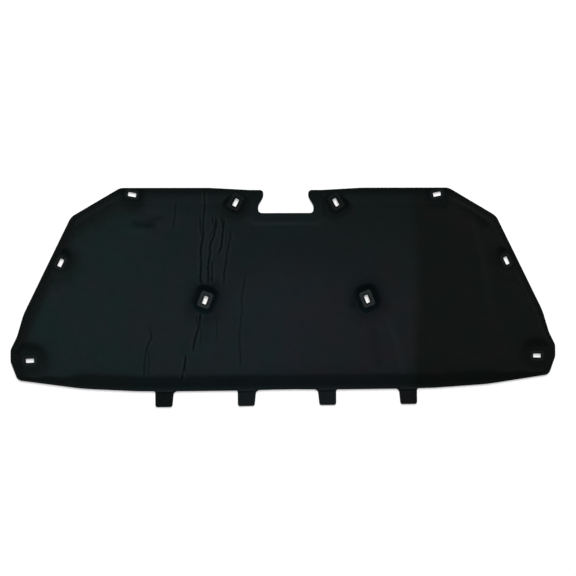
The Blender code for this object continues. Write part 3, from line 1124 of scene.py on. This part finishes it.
class Weave:
    """Fills the plan with triangles: fine where the relief turns, coarse on the open field.

    Each span and reach says where the cells are split, and the number after it how often.
    """

    JITTER = 0.24
    CLEAR_OF_EDGE = 0.62
    SEED = 5
    WALL_SPAN, POCKET_SPAN, WALL_SPLITS = (-0.9, 1.5), (-0.9, 1.6), 2
    TAB_REACH, TAB_SPLITS = 0.008, 3
    SLOT_REACH, SLOT_SPLITS = 0.0145, 5
    BEND_REACH, BEND_SPLITS = 0.0095, 2
    CRACK_REACH, CRACK_SPLITS = 0.0055, 6
    MERGED = 1e-6

    def __init__(self, relief: Relief, loops: list[Loop], insets: list[float], cell: float) -> None:
        """Keeps the outlines that the triangles stop at.

        Args:
            relief: the heights, whose detail sets the spacing.
            loops: the outline of the pad, then those of its slots.
            insets: how far inside each outline the triangles stop.
            cell: width of a cell of the lattice that the points start from.
        """
        self.relief = relief
        self.cell = cell
        self.loops = loops
        self.borders = [loop.inset(inset) for loop, inset in zip(loops, insets)]

    def splits(self, cells: Array) -> Array:
        """Works out how many times each cell is split along each side.

        Args:
            cells: the cells' centres.

        Returns:
            The number for each cell, 1 where it stays whole.
        """
        places = self.relief.in_plan(cells)
        wall = self.relief.wall_share(places)
        share, slot = self.relief.pockets(places)[:2]
        count = np.ones(len(cells), int)
        for value, (low, high) in ((wall, self.WALL_SPAN), (share, self.POCKET_SPAN)):
            count[(value > low) & (value < high)] = self.WALL_SPLITS
        count[self.relief.tab_reach(places) > -self.TAB_REACH] = self.TAB_SPLITS
        count[slot < self.SLOT_REACH] = self.SLOT_SPLITS
        for crack in self.relief.cracks:
            close = np.flatnonzero(crack.near(cells, self.BEND_REACH))
            gap, _ = to_polyline(cells[close], crack.line)
            bent = close[gap < self.BEND_REACH]
            count[bent] = np.maximum(count[bent], self.BEND_SPLITS)
            count[close[gap < self.CRACK_REACH]] = self.CRACK_SPLITS
        return count

    def scatter(self, is_even: bool = False) -> Array:
        """Spreads points over the plan.

        Args:
            is_even: True to leave all cells whole, however the relief turns.

        Returns:
            The points inside all borders.
        """
        low = self.borders[0].min(axis=0)
        high = self.borders[0].max(axis=0)
        columns = np.arange(low[0], high[0], self.cell) + self.cell / 2
        rows = np.arange(low[1], high[1], self.cell) + self.cell / 2
        cells = np.array(np.meshgrid(columns, rows)).reshape(2, -1).T
        splits = np.ones(len(cells), int) if is_even else self.splits(cells)
        draw = np.random.default_rng(self.SEED)
        points, spacings = [], []
        for count in np.unique(splits):
            steps = (np.arange(count) + 0.5) / count - 0.5
            inner = np.array(np.meshgrid(steps, steps)).reshape(2, -1).T * self.cell
            spread = (cells[splits == count][:, None, :] + inner[None]).reshape(-1, 2)
            spacing = self.cell / count
            spread += draw.uniform(-self.JITTER, self.JITTER, spread.shape) * spacing
            points.append(spread)
            spacings.append(np.full(len(spread), spacing))
        points, spacings = np.vstack(points), np.concatenate(spacings)
        return points[self._inside(points, spacings)]

    def _inside(self, points: Array, spacings: Array) -> Array:
        """Sorts out which points lie in the felt and not too near a border.

        Args:
            points: the points.
            spacings: for each, the distance to its neighbours.

        Returns:
            True for each point that is kept.
        """
        border = np.vstack(self.borders)
        inward = np.vstack([loop.inward for loop in self.loops])
        tree = tree_over(border)
        found = [tree.find((x, y, 0.0)) for x, y in points]
        nearest = np.array([index for _, index, _ in found])
        gap = np.array([distance for _, _, distance in found])
        side = ((points - border[nearest]) * inward[nearest]).sum(axis=1)
        return (side > 0.0) & (gap > spacings * self.CLEAR_OF_EDGE)

    def _outside(self, faces: Array, owner: Array, ahead: dict[int, int]) -> list[int]:
        """Finds the triangles outside the felt, spreading from those on the far side of a border's edge.

        Args:
            faces: the triangles, counterclockwise.
            owner: for each point the number of its border, or -1 inside them.
            ahead: for each border point the next one, counterclockwise.

        Returns:
            The numbers of the triangles that lie beyond the rim or in a slot.
        """
        rings = owner[faces]
        doubtful = np.flatnonzero((rings[:, 0] >= 0) & (rings == rings[:, :1]).all(axis=1))
        by_edge = {}
        for number in doubtful.tolist():
            a, b, c = faces[number].tolist()
            by_edge.update({(a, b): number, (b, c): number, (c, a): number})
        outside = set()
        for (a, b), number in by_edge.items():
            if ahead[b] == a if owner[a] == 0 else ahead[a] == b:
                outside.add(number)
        waiting = list(outside)
        while waiting:
            a, b, c = faces[waiting.pop()].tolist()
            for u, v in ((a, b), (b, c), (c, a)):
                beside = by_edge.get((v, u))
                if beside is not None and beside not in outside and ahead[u] != v and ahead[v] != u:
                    outside.add(beside)
                    waiting.append(beside)
        return sorted(outside)

    def triangles(self, inner: Array) -> tuple[Array, Array]:
        """Joins borders and inner points into triangles.

        Args:
            inner: the points inside the borders.

        Returns:
            All points, the borders' first and in order, and the triangles, counterclockwise.
        """
        border = np.vstack(self.borders)
        points = np.vstack([border, inner])
        owner = np.full(len(points), -1)
        edges, start = [], 0
        for number, ring in enumerate(self.borders):
            indices = np.arange(start, start + len(ring))
            edges += list(zip(indices.tolist(), np.roll(indices, -1).tolist()))
            owner[indices] = number
            start += len(ring)
        made = geometry.delaunay_2d_cdt([Vector(p) for p in points.tolist()], edges, [], 1, 1e-9, True)
        places = np.array([tuple(v) for v in made[0]])
        if len(places) != len(points) or np.abs(places - points).max() > self.MERGED:
            raise ValueError("the borders cross or touch, so their points were merged")
        faces = np.array(made[2])
        return points, np.delete(faces, self._outside(faces, owner, dict(edges)), axis=0)


@dataclass
class FacingPress:
    """Settles the facing over the pressed felt with Blender's cloth, held at rim, seats and creases."""

    cell: float = 0.0095
    frames: int = 16
    quality: int = 6
    mass: float = 0.15
    pressure: float = 2.2
    cap: float = 0.0012
    stiffness: float = 12.0
    bending: float = 1.5
    neighbours: int = 7
    blend: float = 0.7
    wall_grip: float = 0.9
    crease_grip: float = 0.006
    least_grip: float = 0.03
    heights: Array = field(default_factory=lambda: np.zeros(0))
    tree: kdtree.KDTree | None = None

    def _held(self, relief: Relief, points: Array) -> Array:
        """Works out how firmly each point of the facing is glued down.

        Args:
            relief: the heights that the facing starts from.
            points: the facing's points in the part's frame.

        Returns:
            For each point, its grip from 0 to 1.
        """
        places = relief.in_plan(points)
        wall = relief.wall_share(places)
        share = relief.pockets(places)[0]
        firm = np.maximum(1.0 - eased(wall * self.wall_grip), 1.0 - eased(share * self.wall_grip))
        for crack in relief.cracks:
            gap, _ = to_polyline(points, crack.line)
            firm = np.maximum(firm, bell(gap, self.crease_grip))
        return np.clip(firm, self.least_grip, 1.0)

    def settle(self, relief: Relief, loops: list[Loop], insets: list[float]) -> None:
        """Runs the cloth and keeps how far each point of the facing rose.

        Args:
            relief: the heights that the facing starts from.
            loops: the outlines that it stops at.
            insets: how far inside each outline it stops.
        """
        weave = Weave(relief, loops, insets, self.cell)
        points, faces = weave.triangles(weave.scatter(is_even=True))
        rest = np.column_stack([points, relief.felt(points)])
        mesh = bpy.data.meshes.new("facing_cloth")
        mesh.from_pydata(rest.tolist(), [], faces.tolist())
        facing = bpy.data.objects.new("facing_cloth", mesh)
        bpy.context.scene.collection.objects.link(facing)
        held = facing.vertex_groups.new(name="held")
        for i, firm in enumerate(self._held(relief, points)):
            held.add([i], float(firm), "REPLACE")
        cloth = facing.modifiers.new("settle", "CLOTH")
        cloth.point_cache.frame_end = self.frames
        settings = cloth.settings
        settings.quality = self.quality
        settings.mass = self.mass
        settings.tension_stiffness = settings.compression_stiffness = self.stiffness
        settings.shear_stiffness = self.stiffness / 2
        settings.bending_stiffness = self.bending
        settings.vertex_group_mass = held.name
        settings.pin_stiffness = 1.0
        settings.use_pressure = True
        settings.uniform_pressure_force = self.pressure
        settings.effector_weights.gravity = 0.0
        cloth.collision_settings.use_collision = False
        scene = bpy.context.scene
        for frame in range(1, self.frames + 1):
            scene.frame_set(frame)
        settled = facing.evaluated_get(bpy.context.evaluated_depsgraph_get()).to_mesh()
        moved = np.empty(len(points) * 3)
        settled.vertices.foreach_get("co", moved)
        rise = moved.reshape(-1, 3)[:, 2] - rest[:, 2]
        LOG.info("facing rose %.2f to %.2f mm before the cap", rise.min() / MM, rise.max() / MM)
        self.heights = self.cap * np.tanh(rise / self.cap)
        self.tree = tree_over(points)
        scene.frame_set(1)
        bpy.data.objects.remove(facing)

    def rise(self, points: Array) -> Array:
        """Reads how far the settled facing rose.

        Args:
            points: places in the part's frame.

        Returns:
            The rise at each place, or 0 everywhere if the cloth was not run.
        """
        if self.tree is None:
            return np.zeros(len(points))
        near = [self.tree.find_n((x, y, 0.0), self.neighbours) for x, y in points]
        index = np.array([[i for _, i, _ in row] for row in near])
        gap = np.array([[distance for _, _, distance in row] for row in near])
        weight = bell(gap, self.cell * self.blend) + 1e-9
        return (self.heights[index] * weight).sum(axis=1) / weight.sum(axis=1)


@dataclass
class InsulationPad:
    """The whole pad as one closed soft sheet, from its front over rounded edges to its back."""

    plan: PadPlan = field(default_factory=PadPlan)
    wear_and_shading: WearAndShading = field(default_factory=WearAndShading)
    press: FacingPress = field(default_factory=FacingPress)
    rim_spacing: float = 0.0017
    slot_spacing: float = 0.0008
    rim_round: float = 0.0011
    slot_round: float = 0.0006
    top_turns: tuple[float, ...] = (30.0, 60.0, 90.0)
    back_turns: tuple[float, ...] = (90.0, 45.0)
    front_cell: float = 0.0054
    back_cell: float = 0.014
    back_lift: Unevenness = Unevenness(0.090, 0.00012, 21)

    def build(self) -> bpy.types.Object:
        """Builds the pad's mesh.

        Returns:
            The finished object, at the origin, with its marks as point attributes.
        """
        loops = [Loop(self.plan.rim_corners(), self.rim_spacing), *self.plan.slots(self.slot_spacing)]
        for loop in loops:
            loop.points -= [0.0, self.plan.centre]
        insets = [self.rim_round] + [self.slot_round] * (len(loops) - 1)
        relief = Relief(self.plan, self.wear_and_shading)
        self.press.settle(relief, loops, insets)
        weave = Weave(relief, loops, insets, self.front_cell)
        front, front_faces = weave.triangles(weave.scatter())
        weave = Weave(relief, loops, insets, self.back_cell)
        back, back_faces = weave.triangles(weave.scatter(is_even=True))
        front_z = relief.top(front) + self.press.rise(front)
        back_z = np.maximum(0.0, self.back_lift.at(back))
        back_z[: sum(len(loop.points) for loop in loops)] = 0.0

        points = [np.column_stack([front, front_z]), np.column_stack([back, back_z])]
        sources = [np.arange(len(front)), np.full(len(back), -1)]
        faces = front_faces.tolist() + (back_faces[:, ::-1] + len(front)).tolist()
        first, made = 0, len(front) + len(back)
        for loop, inset in zip(loops, insets):
            ring = np.arange(first, first + len(loop.points))
            edge = self._edge(loop, inset, front_z[ring], back_z[ring])
            rounded = np.arange(made, made + len(ring) * len(edge)).reshape(len(edge), -1)
            rows = [ring, *rounded, ring + len(front)]
            for upper, lower in zip(rows, rows[1:]):
                quads = np.column_stack([upper, lower, np.roll(lower, -1), np.roll(upper, -1)])
                faces += (quads[:, ::-1] if loop.is_hole else quads).tolist()
            points += edge
            sources += [ring] * len(edge)
            first += len(ring)
            made += len(ring) * len(edge)
        return self._as_object(np.vstack(points), faces, relief.marks(front), np.concatenate(sources))

    def _edge(self, loop: Loop, inset: float, top: Array, bottom: Array) -> list[Array]:
        """Rounds the felt's edge along an outline.

        Args:
            loop: the outline.
            inset: the radius of the rounding.
            top: heights of the front along the outline.
            bottom: heights of the back along it.

        Returns:
            Rows of points between front and back, the front's first.
        """
        rows = []
        for turns, level, way in ((self.top_turns, top, -1.0), (self.back_turns, bottom, 1.0)):
            for turn in turns:
                out = inset * (1 - math.sin(math.radians(turn)))
                drop = inset * (1 - math.cos(math.radians(turn)))
                rows.append(np.column_stack([loop.inset(out), level + way * drop]))
        return rows

    def _as_object(
        self, points: Array, faces: list[list[int]], marks: dict[Mark, Array], sources: Array
    ) -> bpy.types.Object:
        """Makes the object and its marks.

        Args:
            points: all points.
            faces: the faces, as indices of points.
            marks: each mark's value at each point of the front.
            sources: for each point the front point that its marks come from, or -1 on the back.

        Returns:
            The object, shaded smooth.
        """
        mesh = bpy.data.meshes.new("insulation_pad_felt")
        mesh.from_pydata(points.tolist(), [], faces)
        for mark, values in marks.items():
            on_back = 1.0 if mark is Mark.RIM else 0.0
            spread = np.where(sources < 0, on_back, values[np.maximum(sources, 0)])
            attribute = mesh.attributes.new(mark.value, "FLOAT", "POINT")
            attribute.data.foreach_set("value", spread.astype(np.float32))
        mesh.shade_smooth()
        mesh.validate()
        pad = bpy.data.objects.new("insulation_pad_felt", mesh)
        bpy.context.scene.collection.objects.link(pad)
        return pad


class Board:
    """A node tree, with short calls to add and join nodes."""

    def __init__(self, tree: bpy.types.NodeTree) -> None:
        """Keeps the tree."""
        self.tree = tree
        self.place = 0

    def add(
        self, kind: str, inputs: dict[str | int, object] | None = None, **settings: object
    ) -> bpy.types.Node:
        """Adds a node.

        Args:
            kind: the node's type.
            inputs: for each socket, by name or number, a value or the socket of another node.
            settings: the node's own properties.

        Returns:
            The new node.
        """
        node = self.tree.nodes.new(kind)
        node.location = (-220 * (self.place % 8) - 260, 240 * (self.place // 8) - 300)
        self.place += 1
        for name, value in settings.items():
            setattr(node, name, value)
        for name, value in (inputs or {}).items():
            self.join(value, node.inputs[name])
        return node

    def join(self, value: object, socket: Socket) -> None:
        """Fills a socket.

        Args:
            value: a plain value, or another node's socket to link to.
            socket: the socket.
        """
        if isinstance(value, Socket):
            self.tree.links.new(value, socket)
        else:
            socket.default_value = value

    def math(self, operation: str, a: object, b: object = 0.0, clamp: bool = False) -> Socket:
        """The result of a sum, product or other operation on two numbers."""
        return self.add("ShaderNodeMath", {0: a, 1: b}, operation=operation, use_clamp=clamp).outputs[0]

    def mix(self, share: object, a: object, b: object, blend: str = "MIX") -> Socket:
        """A colour between two, or the first blended with the second, at a share from 0 to 1."""
        node = self.add("ShaderNodeMix", {0: share, 6: a, 7: b}, data_type="RGBA", blend_type=blend)
        return node.outputs[2]

    def times(self, share: object, a: object, b: object) -> Socket:
        """The first colour, at a share multiplied by the second."""
        return self.mix(share, a, b, "MULTIPLY")

    def scaled(self, colour: object, factor: object) -> Socket:
        """A colour made lighter or darker by a factor."""
        node = self.add("ShaderNodeVectorMath", {0: colour, "Scale": factor}, operation="SCALE")
        return node.outputs[0]

    def noise(self, where: object, scale: float, detail: float, rough: float = 0.5) -> Socket:
        """Noise from 0 to 1, with scale features to the metre."""
        inputs = {"Vector": where, "Scale": scale, "Detail": detail, "Roughness": rough}
        return self.add("ShaderNodeTexNoise", inputs).outputs[0]

    def spread(self, value: object, *limits: float) -> Socket:
        """A value's range from low to high, stretched and clamped to 0 to 1 or to two more limits."""
        names = ("Value", "From Min", "From Max", "To Min", "To Max")
        return self.add("ShaderNodeMapRange", dict(zip(names, (value, *limits))), clamp=True).outputs[0]


@dataclass(frozen=True)
class FeltFinish:
    """Black non-woven facing on pressed felt: teal and lighter on the left, the lightness partly a painted
    broad highlight, and neutral on the right.

    A noise is its features to the metre, detail and roughness. A range is low and high noise, and
    what these are turned into.
    """

    # Colours from left to right; the left's extra lightness is partly a painted broad highlight and partly
    # the facing's own tone.
    left: Three = (0.0098, 0.0170, 0.0174)
    centre: Three = (0.0116, 0.0150, 0.0180)
    fading: Three = (0.0110, 0.0118, 0.0135)
    right: Three = (0.0062, 0.0071, 0.0066)
    stops: Four = (-0.50, -0.02, 0.308, 0.334)
    top_rise: Two = (-0.02, 0.17)
    top_left: Four = (-0.36, -0.04, 0.38, 1.0)
    top_right: Two = (1.0, 0.24)
    drift: float = 0.16
    drift_across: float = 0.3
    teal_tint: Three = (0.78, 1.04, 0.99)
    plum_tint: Three = (1.11, 0.96, 1.01)
    upper_tint: Three = (0.60, 0.73, 0.64)
    # Tint that painted shade multiplies the colour by.
    shade: Three = (0.0, 0.24, 0.26)
    rim: Three = (0.0067, 0.0066, 0.0062)
    # Colour of the painted sheen and highlights.
    pressed: Three = (0.034, 0.040, 0.040)
    fleck: Three = (0.026, 0.025, 0.025)
    # Colour of the painted shade in the cracks.
    crack: Three = (0.0007, 0.0023, 0.0025)
    rim_share: float = 0.82
    fleck_share: float = 0.45
    crack_share: float = 0.95
    cloud_noise: Two = (7.0, 2.0)
    patch_noise: Three = (13.0, 3.0, 0.65)
    patch_range: Two = (0.36, 0.64)
    mottle_noise: Three = (45.0, 4.0, 0.6)
    mottle_range: Four = (0.3, 0.7, 0.93, 1.07)
    grain_detail: Two = (3.0, 0.6)
    grain_range: Four = (0.3, 0.7, 0.80, 1.20)
    bare_noise: Three = (260.0, 2.0, 0.7)
    bare_range: Four = (0.35, 0.62, 0.62, 1.30)
    speckle_noise: Three = (420.0, 2.0, 0.7)
    fleck_range: Two = (0.56, 0.70)
    highlight_range: Four = (0.34, 0.62, 0.35, 1.0)
    rough_range: Four = (0.3, 0.7, 0.83, 0.94)
    highlight_gloss: float = 0.22
    specular: float = 0.05
    sheen: float = 0.03
    sheen_roughness: float = 0.35
    fibre_pitch: float = 0.0011
    fibre_turns: Two = (0.5, -0.7)
    fibre_scale: Three = (1500.0, 130.0, 400.0)
    fibre_detail: Two = (2.0, 0.6)
    fibre_relief: float = 0.00022
    bump: float = 0.55
    grain_height: float = 0.6
    fibre_height: float = 0.7

    def build(self) -> bpy.types.Material:
        """Makes the material.

        Returns:
            The material, which reads Object coordinates and the mesh's marks.
        """
        material = bpy.data.materials.new("pressed_felt")
        material.use_nodes = True
        board = Board(material.node_tree)
        shader = board.tree.nodes["Principled BSDF"].inputs
        where = board.add("ShaderNodeTexCoord").outputs["Object"]
        marks = {mark: self._read(board, mark) for mark in Mark}
        mottle = board.noise(where, *self.mottle_noise)
        grain = board.noise(where, 1.0 / self.fibre_pitch, *self.grain_detail)
        speckle = board.noise(where, *self.speckle_noise)
        colour = board.scaled(self._tone(board, where), board.spread(mottle, *self.mottle_range))
        colour = board.scaled(colour, board.spread(grain, *self.grain_range))
        grey = board.mix(self.rim_share, colour, (*self.rim, 1.0))
        colour = board.mix(marks[Mark.RIM], colour, grey)
        bare = board.spread(board.noise(where, *self.bare_noise), *self.bare_range)
        colour = board.mix(marks[Mark.RIM], colour, board.scaled(colour, bare))
        flecks = board.math("MULTIPLY", marks[Mark.RIM], board.spread(speckle, *self.fleck_range))
        colour = board.mix(board.math("MULTIPLY", flecks, self.fleck_share), colour, (*self.fleck, 1.0))
        # Painted shade, tinted teal.
        colour = board.times(marks[Mark.SHADE], colour, (*self.shade, 1.0))
        # Painted sheen and highlights, broken up by speckle.
        painted_highlight = board.math("MULTIPLY", marks[Mark.PAINTED_SHEEN_AND_GLOSS], board.spread(speckle, *self.highlight_range))
        colour = board.mix(painted_highlight, colour, (*self.pressed, 1.0))
        # Painted shade in the cracks.
        cracked = board.math("MULTIPLY", marks[Mark.CREASE], self.crack_share)
        board.join(board.mix(cracked, colour, (*self.crack, 1.0)), shader["Base Color"])
        gloss = board.math("MULTIPLY", marks[Mark.PAINTED_SHEEN_AND_GLOSS], self.highlight_gloss)
        uneven = board.spread(mottle, *self.rough_range)
        board.join(board.math("SUBTRACT", uneven, gloss, clamp=True), shader["Roughness"])
        board.join(self.specular, shader["Specular IOR Level"])
        board.join(self.sheen, shader["Sheen Weight"])
        board.join(self.sheen_roughness, shader["Sheen Roughness"])
        grained = board.math("MULTIPLY", grain, self.grain_height)
        fibres = board.math("MULTIPLY", self._fibres(board, where), self.fibre_height)
        relief = {"Height": board.math("ADD", grained, fibres), "Distance": self.fibre_relief}
        bump = board.add("ShaderNodeBump", {"Strength": self.bump, **relief})
        board.join(bump.outputs["Normal"], shader["Normal"])
        return material

    def _read(self, board: Board, mark: Mark) -> Socket:
        """The mesh's value of a mark."""
        node = board.add("ShaderNodeAttribute", attribute_type="GEOMETRY", attribute_name=mark.value)
        return node.outputs["Fac"]

    def _tone(self, board: Board, where: Socket) -> Socket:
        """Colours the facing from its left end to its right, darker towards the top.

        Args:
            board: the material's nodes.
            where: the place on the pad.

        Returns:
            The colour.
        """
        split = board.add("ShaderNodeSeparateXYZ", {"Vector": where})
        cloud = board.noise(where, *self.cloud_noise)
        drift = board.math("MULTIPLY", board.math("SUBTRACT", cloud, 0.5), self.drift)
        across = board.math("ADD", split.outputs["X"], board.math("MULTIPLY", drift, self.drift_across))
        low, high = self.stops[0], self.stops[-1]
        ramp = board.add("ShaderNodeValToRGB", {"Fac": board.spread(across, low, high)})
        stops = ramp.color_ramp
        stops.elements[0].color = (*self.left, 1.0)
        stops.elements[1].color = (*self.right, 1.0)
        for stop, colour in ((self.stops[1], self.centre), (self.stops[2], self.fading)):
            stops.elements.new((stop - low) / (high - low)).color = (*colour, 1.0)
        rising = board.spread(board.math("ADD", split.outputs["Y"], drift), *self.top_rise)
        rising = board.math("MULTIPLY", rising, board.spread(across, *self.top_left))
        rising = board.math("MULTIPLY", rising, board.spread(across, self.stops[2], high, *self.top_right))
        toned = board.times(rising, ramp.outputs["Color"], (*self.upper_tint, 1.0))
        patch = board.spread(board.noise(where, *self.patch_noise), *self.patch_range)
        tint = board.mix(patch, (*self.teal_tint, 1.0), (*self.plum_tint, 1.0))
        return board.times(1.0, toned, tint)

    def _fibres(self, board: Board, where: Socket) -> Socket:
        """Lays fine fibres in two slanting directions.

        Args:
            board: the material's nodes.
            where: the place on the pad.

        Returns:
            The fibres' height, from 0 to 1.
        """
        layers = []
        for turn in self.fibre_turns:
            inputs = {"Vector": where, "Rotation": (0.0, 0.0, turn), "Scale": self.fibre_scale}
            laid = board.add("ShaderNodeMapping", inputs)
            layers.append(board.noise(laid.outputs[0], 1.0, *self.fibre_detail))
        return board.math("MAXIMUM", *layers)


@dataclass
class Studio:
    """Plain pale floor, soft light, and the camera straight above the pad."""

    camera_height: float = 2.400
    camera_turn: float = 2.95
    camera_roll: float = 0.38
    camera_aim: Two = (0.0041, 0.02155)
    lens: float = 60.07
    sensor: float = 36.0
    clip: Two = (0.05, 50.0)
    floor_side: float = 16.0
    floor_drop: float = 0.0002
    floor_shade: float = 0.85
    floor_glow: Two = (0.35, 1.0)
    glow_reach: Two = (1.3, 3.2)
    world_shade: Three = (0.34, 0.34, 0.34)
    lamp_place: Three = (0.3, 4.4, 3.8)
    lamp_side: float = 3.6
    lamp_power: float = 330.0

    def build(self) -> None:
        """Adds floor, world, lamp and camera."""
        self._floor()
        self._world()
        self._lamp()
        self._camera()

    def _floor(self) -> None:
        """A pale floor just under the pad, white to the eye apart from the pad's shadow.

        It glows to the eye: a little under the pad, and more where the lamp's light runs out.
        """
        bpy.ops.object.select_all(action="DESELECT")
        bpy.ops.mesh.primitive_plane_add(size=self.floor_side, location=(0.0, 0.0, 0.0))
        floor = bpy.context.object
        floor.name = "studio_floor"
        floor.data.transform(Matrix.Translation((0.0, 0.0, -self.floor_drop)))
        material = bpy.data.materials.new("pale_floor")
        material.use_nodes = True
        board = Board(material.node_tree)
        board.tree.nodes.clear()
        matt = board.add("ShaderNodeBsdfDiffuse", {"Color": (*[self.floor_shade] * 3, 1.0)})
        where = board.add("ShaderNodeTexCoord").outputs["Object"]
        distance = board.add("ShaderNodeVectorMath", {0: where}, operation="LENGTH").outputs["Value"]
        glow = board.spread(distance, *self.glow_reach, *self.floor_glow)
        seen = board.math("MULTIPLY", self._seen_by_eye(board), glow)
        light = board.add("ShaderNodeEmission", {"Strength": seen})
        both = board.add("ShaderNodeAddShader", {0: matt.outputs[0], 1: light.outputs[0]})
        board.add("ShaderNodeOutputMaterial", {"Surface": both.outputs[0]})
        floor.data.materials.append(material)

    def _seen_by_eye(self, board: Board) -> Socket:
        """Tells rays from the camera, straight, reflected or through glass, from all others.

        Args:
            board: the material's nodes.

        Returns:
            1 for such rays, and otherwise 0.
        """
        path = board.add("ShaderNodeLightPath").outputs
        seen = path["Is Camera Ray"]
        for name in ("Is Glossy Ray", "Is Transmission Ray"):
            seen = board.math("MAXIMUM", seen, path[name])
        return seen

    def _world(self) -> None:
        """Plain light from all round, which looks white behind the floor."""
        world = bpy.data.worlds.new("studio_world")
        world.use_nodes = True
        board = Board(world.node_tree)
        light = board.tree.nodes["Background"]
        board.join((*self.world_shade, 1.0), light.inputs["Color"])
        white = board.add("ShaderNodeBackground", {"Color": (1.0, 1.0, 1.0, 1.0)})
        seen = board.add("ShaderNodeLightPath").outputs["Is Camera Ray"]
        chosen = board.add("ShaderNodeMixShader", {0: seen, 1: light.outputs[0], 2: white.outputs[0]})
        board.join(chosen.outputs[0], board.tree.nodes["World Output"].inputs["Surface"])
        bpy.context.scene.world = world

    def _lamp(self) -> None:
        """A square soft box that faces the pad."""
        place = Vector(self.lamp_place)
        bpy.ops.object.light_add(type="AREA", location=place)
        lamp = bpy.context.object
        lamp.name = "window"
        lamp.data.energy = self.lamp_power
        lamp.data.size = self.lamp_side
        lamp.rotation_euler = (-place).to_track_quat("-Z", "Y").to_euler()

    def _camera(self) -> None:
        """The photograph's view: straight down, turned a little about the pad's long side."""
        turn, roll = math.radians(self.camera_turn), math.radians(self.camera_roll)
        to_view = Matrix.Rotation(roll, 3, "Z") @ Matrix.Rotation(turn, 3, "Y")
        to_world = to_view.transposed()
        aim = Vector((*self.camera_aim, 0.0))
        place = to_world @ Vector((0.0, 0.0, self.camera_height)) + aim
        bpy.ops.object.camera_add(location=place)
        camera = bpy.context.object
        camera.name = "photo_camera"
        camera.matrix_world = Matrix.Translation(place) @ to_world.to_4x4()
        camera.data.sensor_width = self.sensor
        camera.data.lens = self.lens
        camera.data.clip_start, camera.data.clip_end = self.clip
        bpy.context.scene.camera = camera
        bpy.context.scene.view_settings.view_transform = "Standard"


def main() -> None:
    logging.basicConfig(level=logging.INFO, format="%(name)s: %(message)s")
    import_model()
    pad = InsulationPad().build()
    pad.data.materials.append(FeltFinish().build())
    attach(pad, "root")
    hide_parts(PAD_NODE)
    LOG.info("%s: %d points, %d faces", pad.name, len(pad.data.vertices), len(pad.data.polygons))
    Studio().build()
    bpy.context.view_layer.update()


if __name__ == "__main__":
    main()
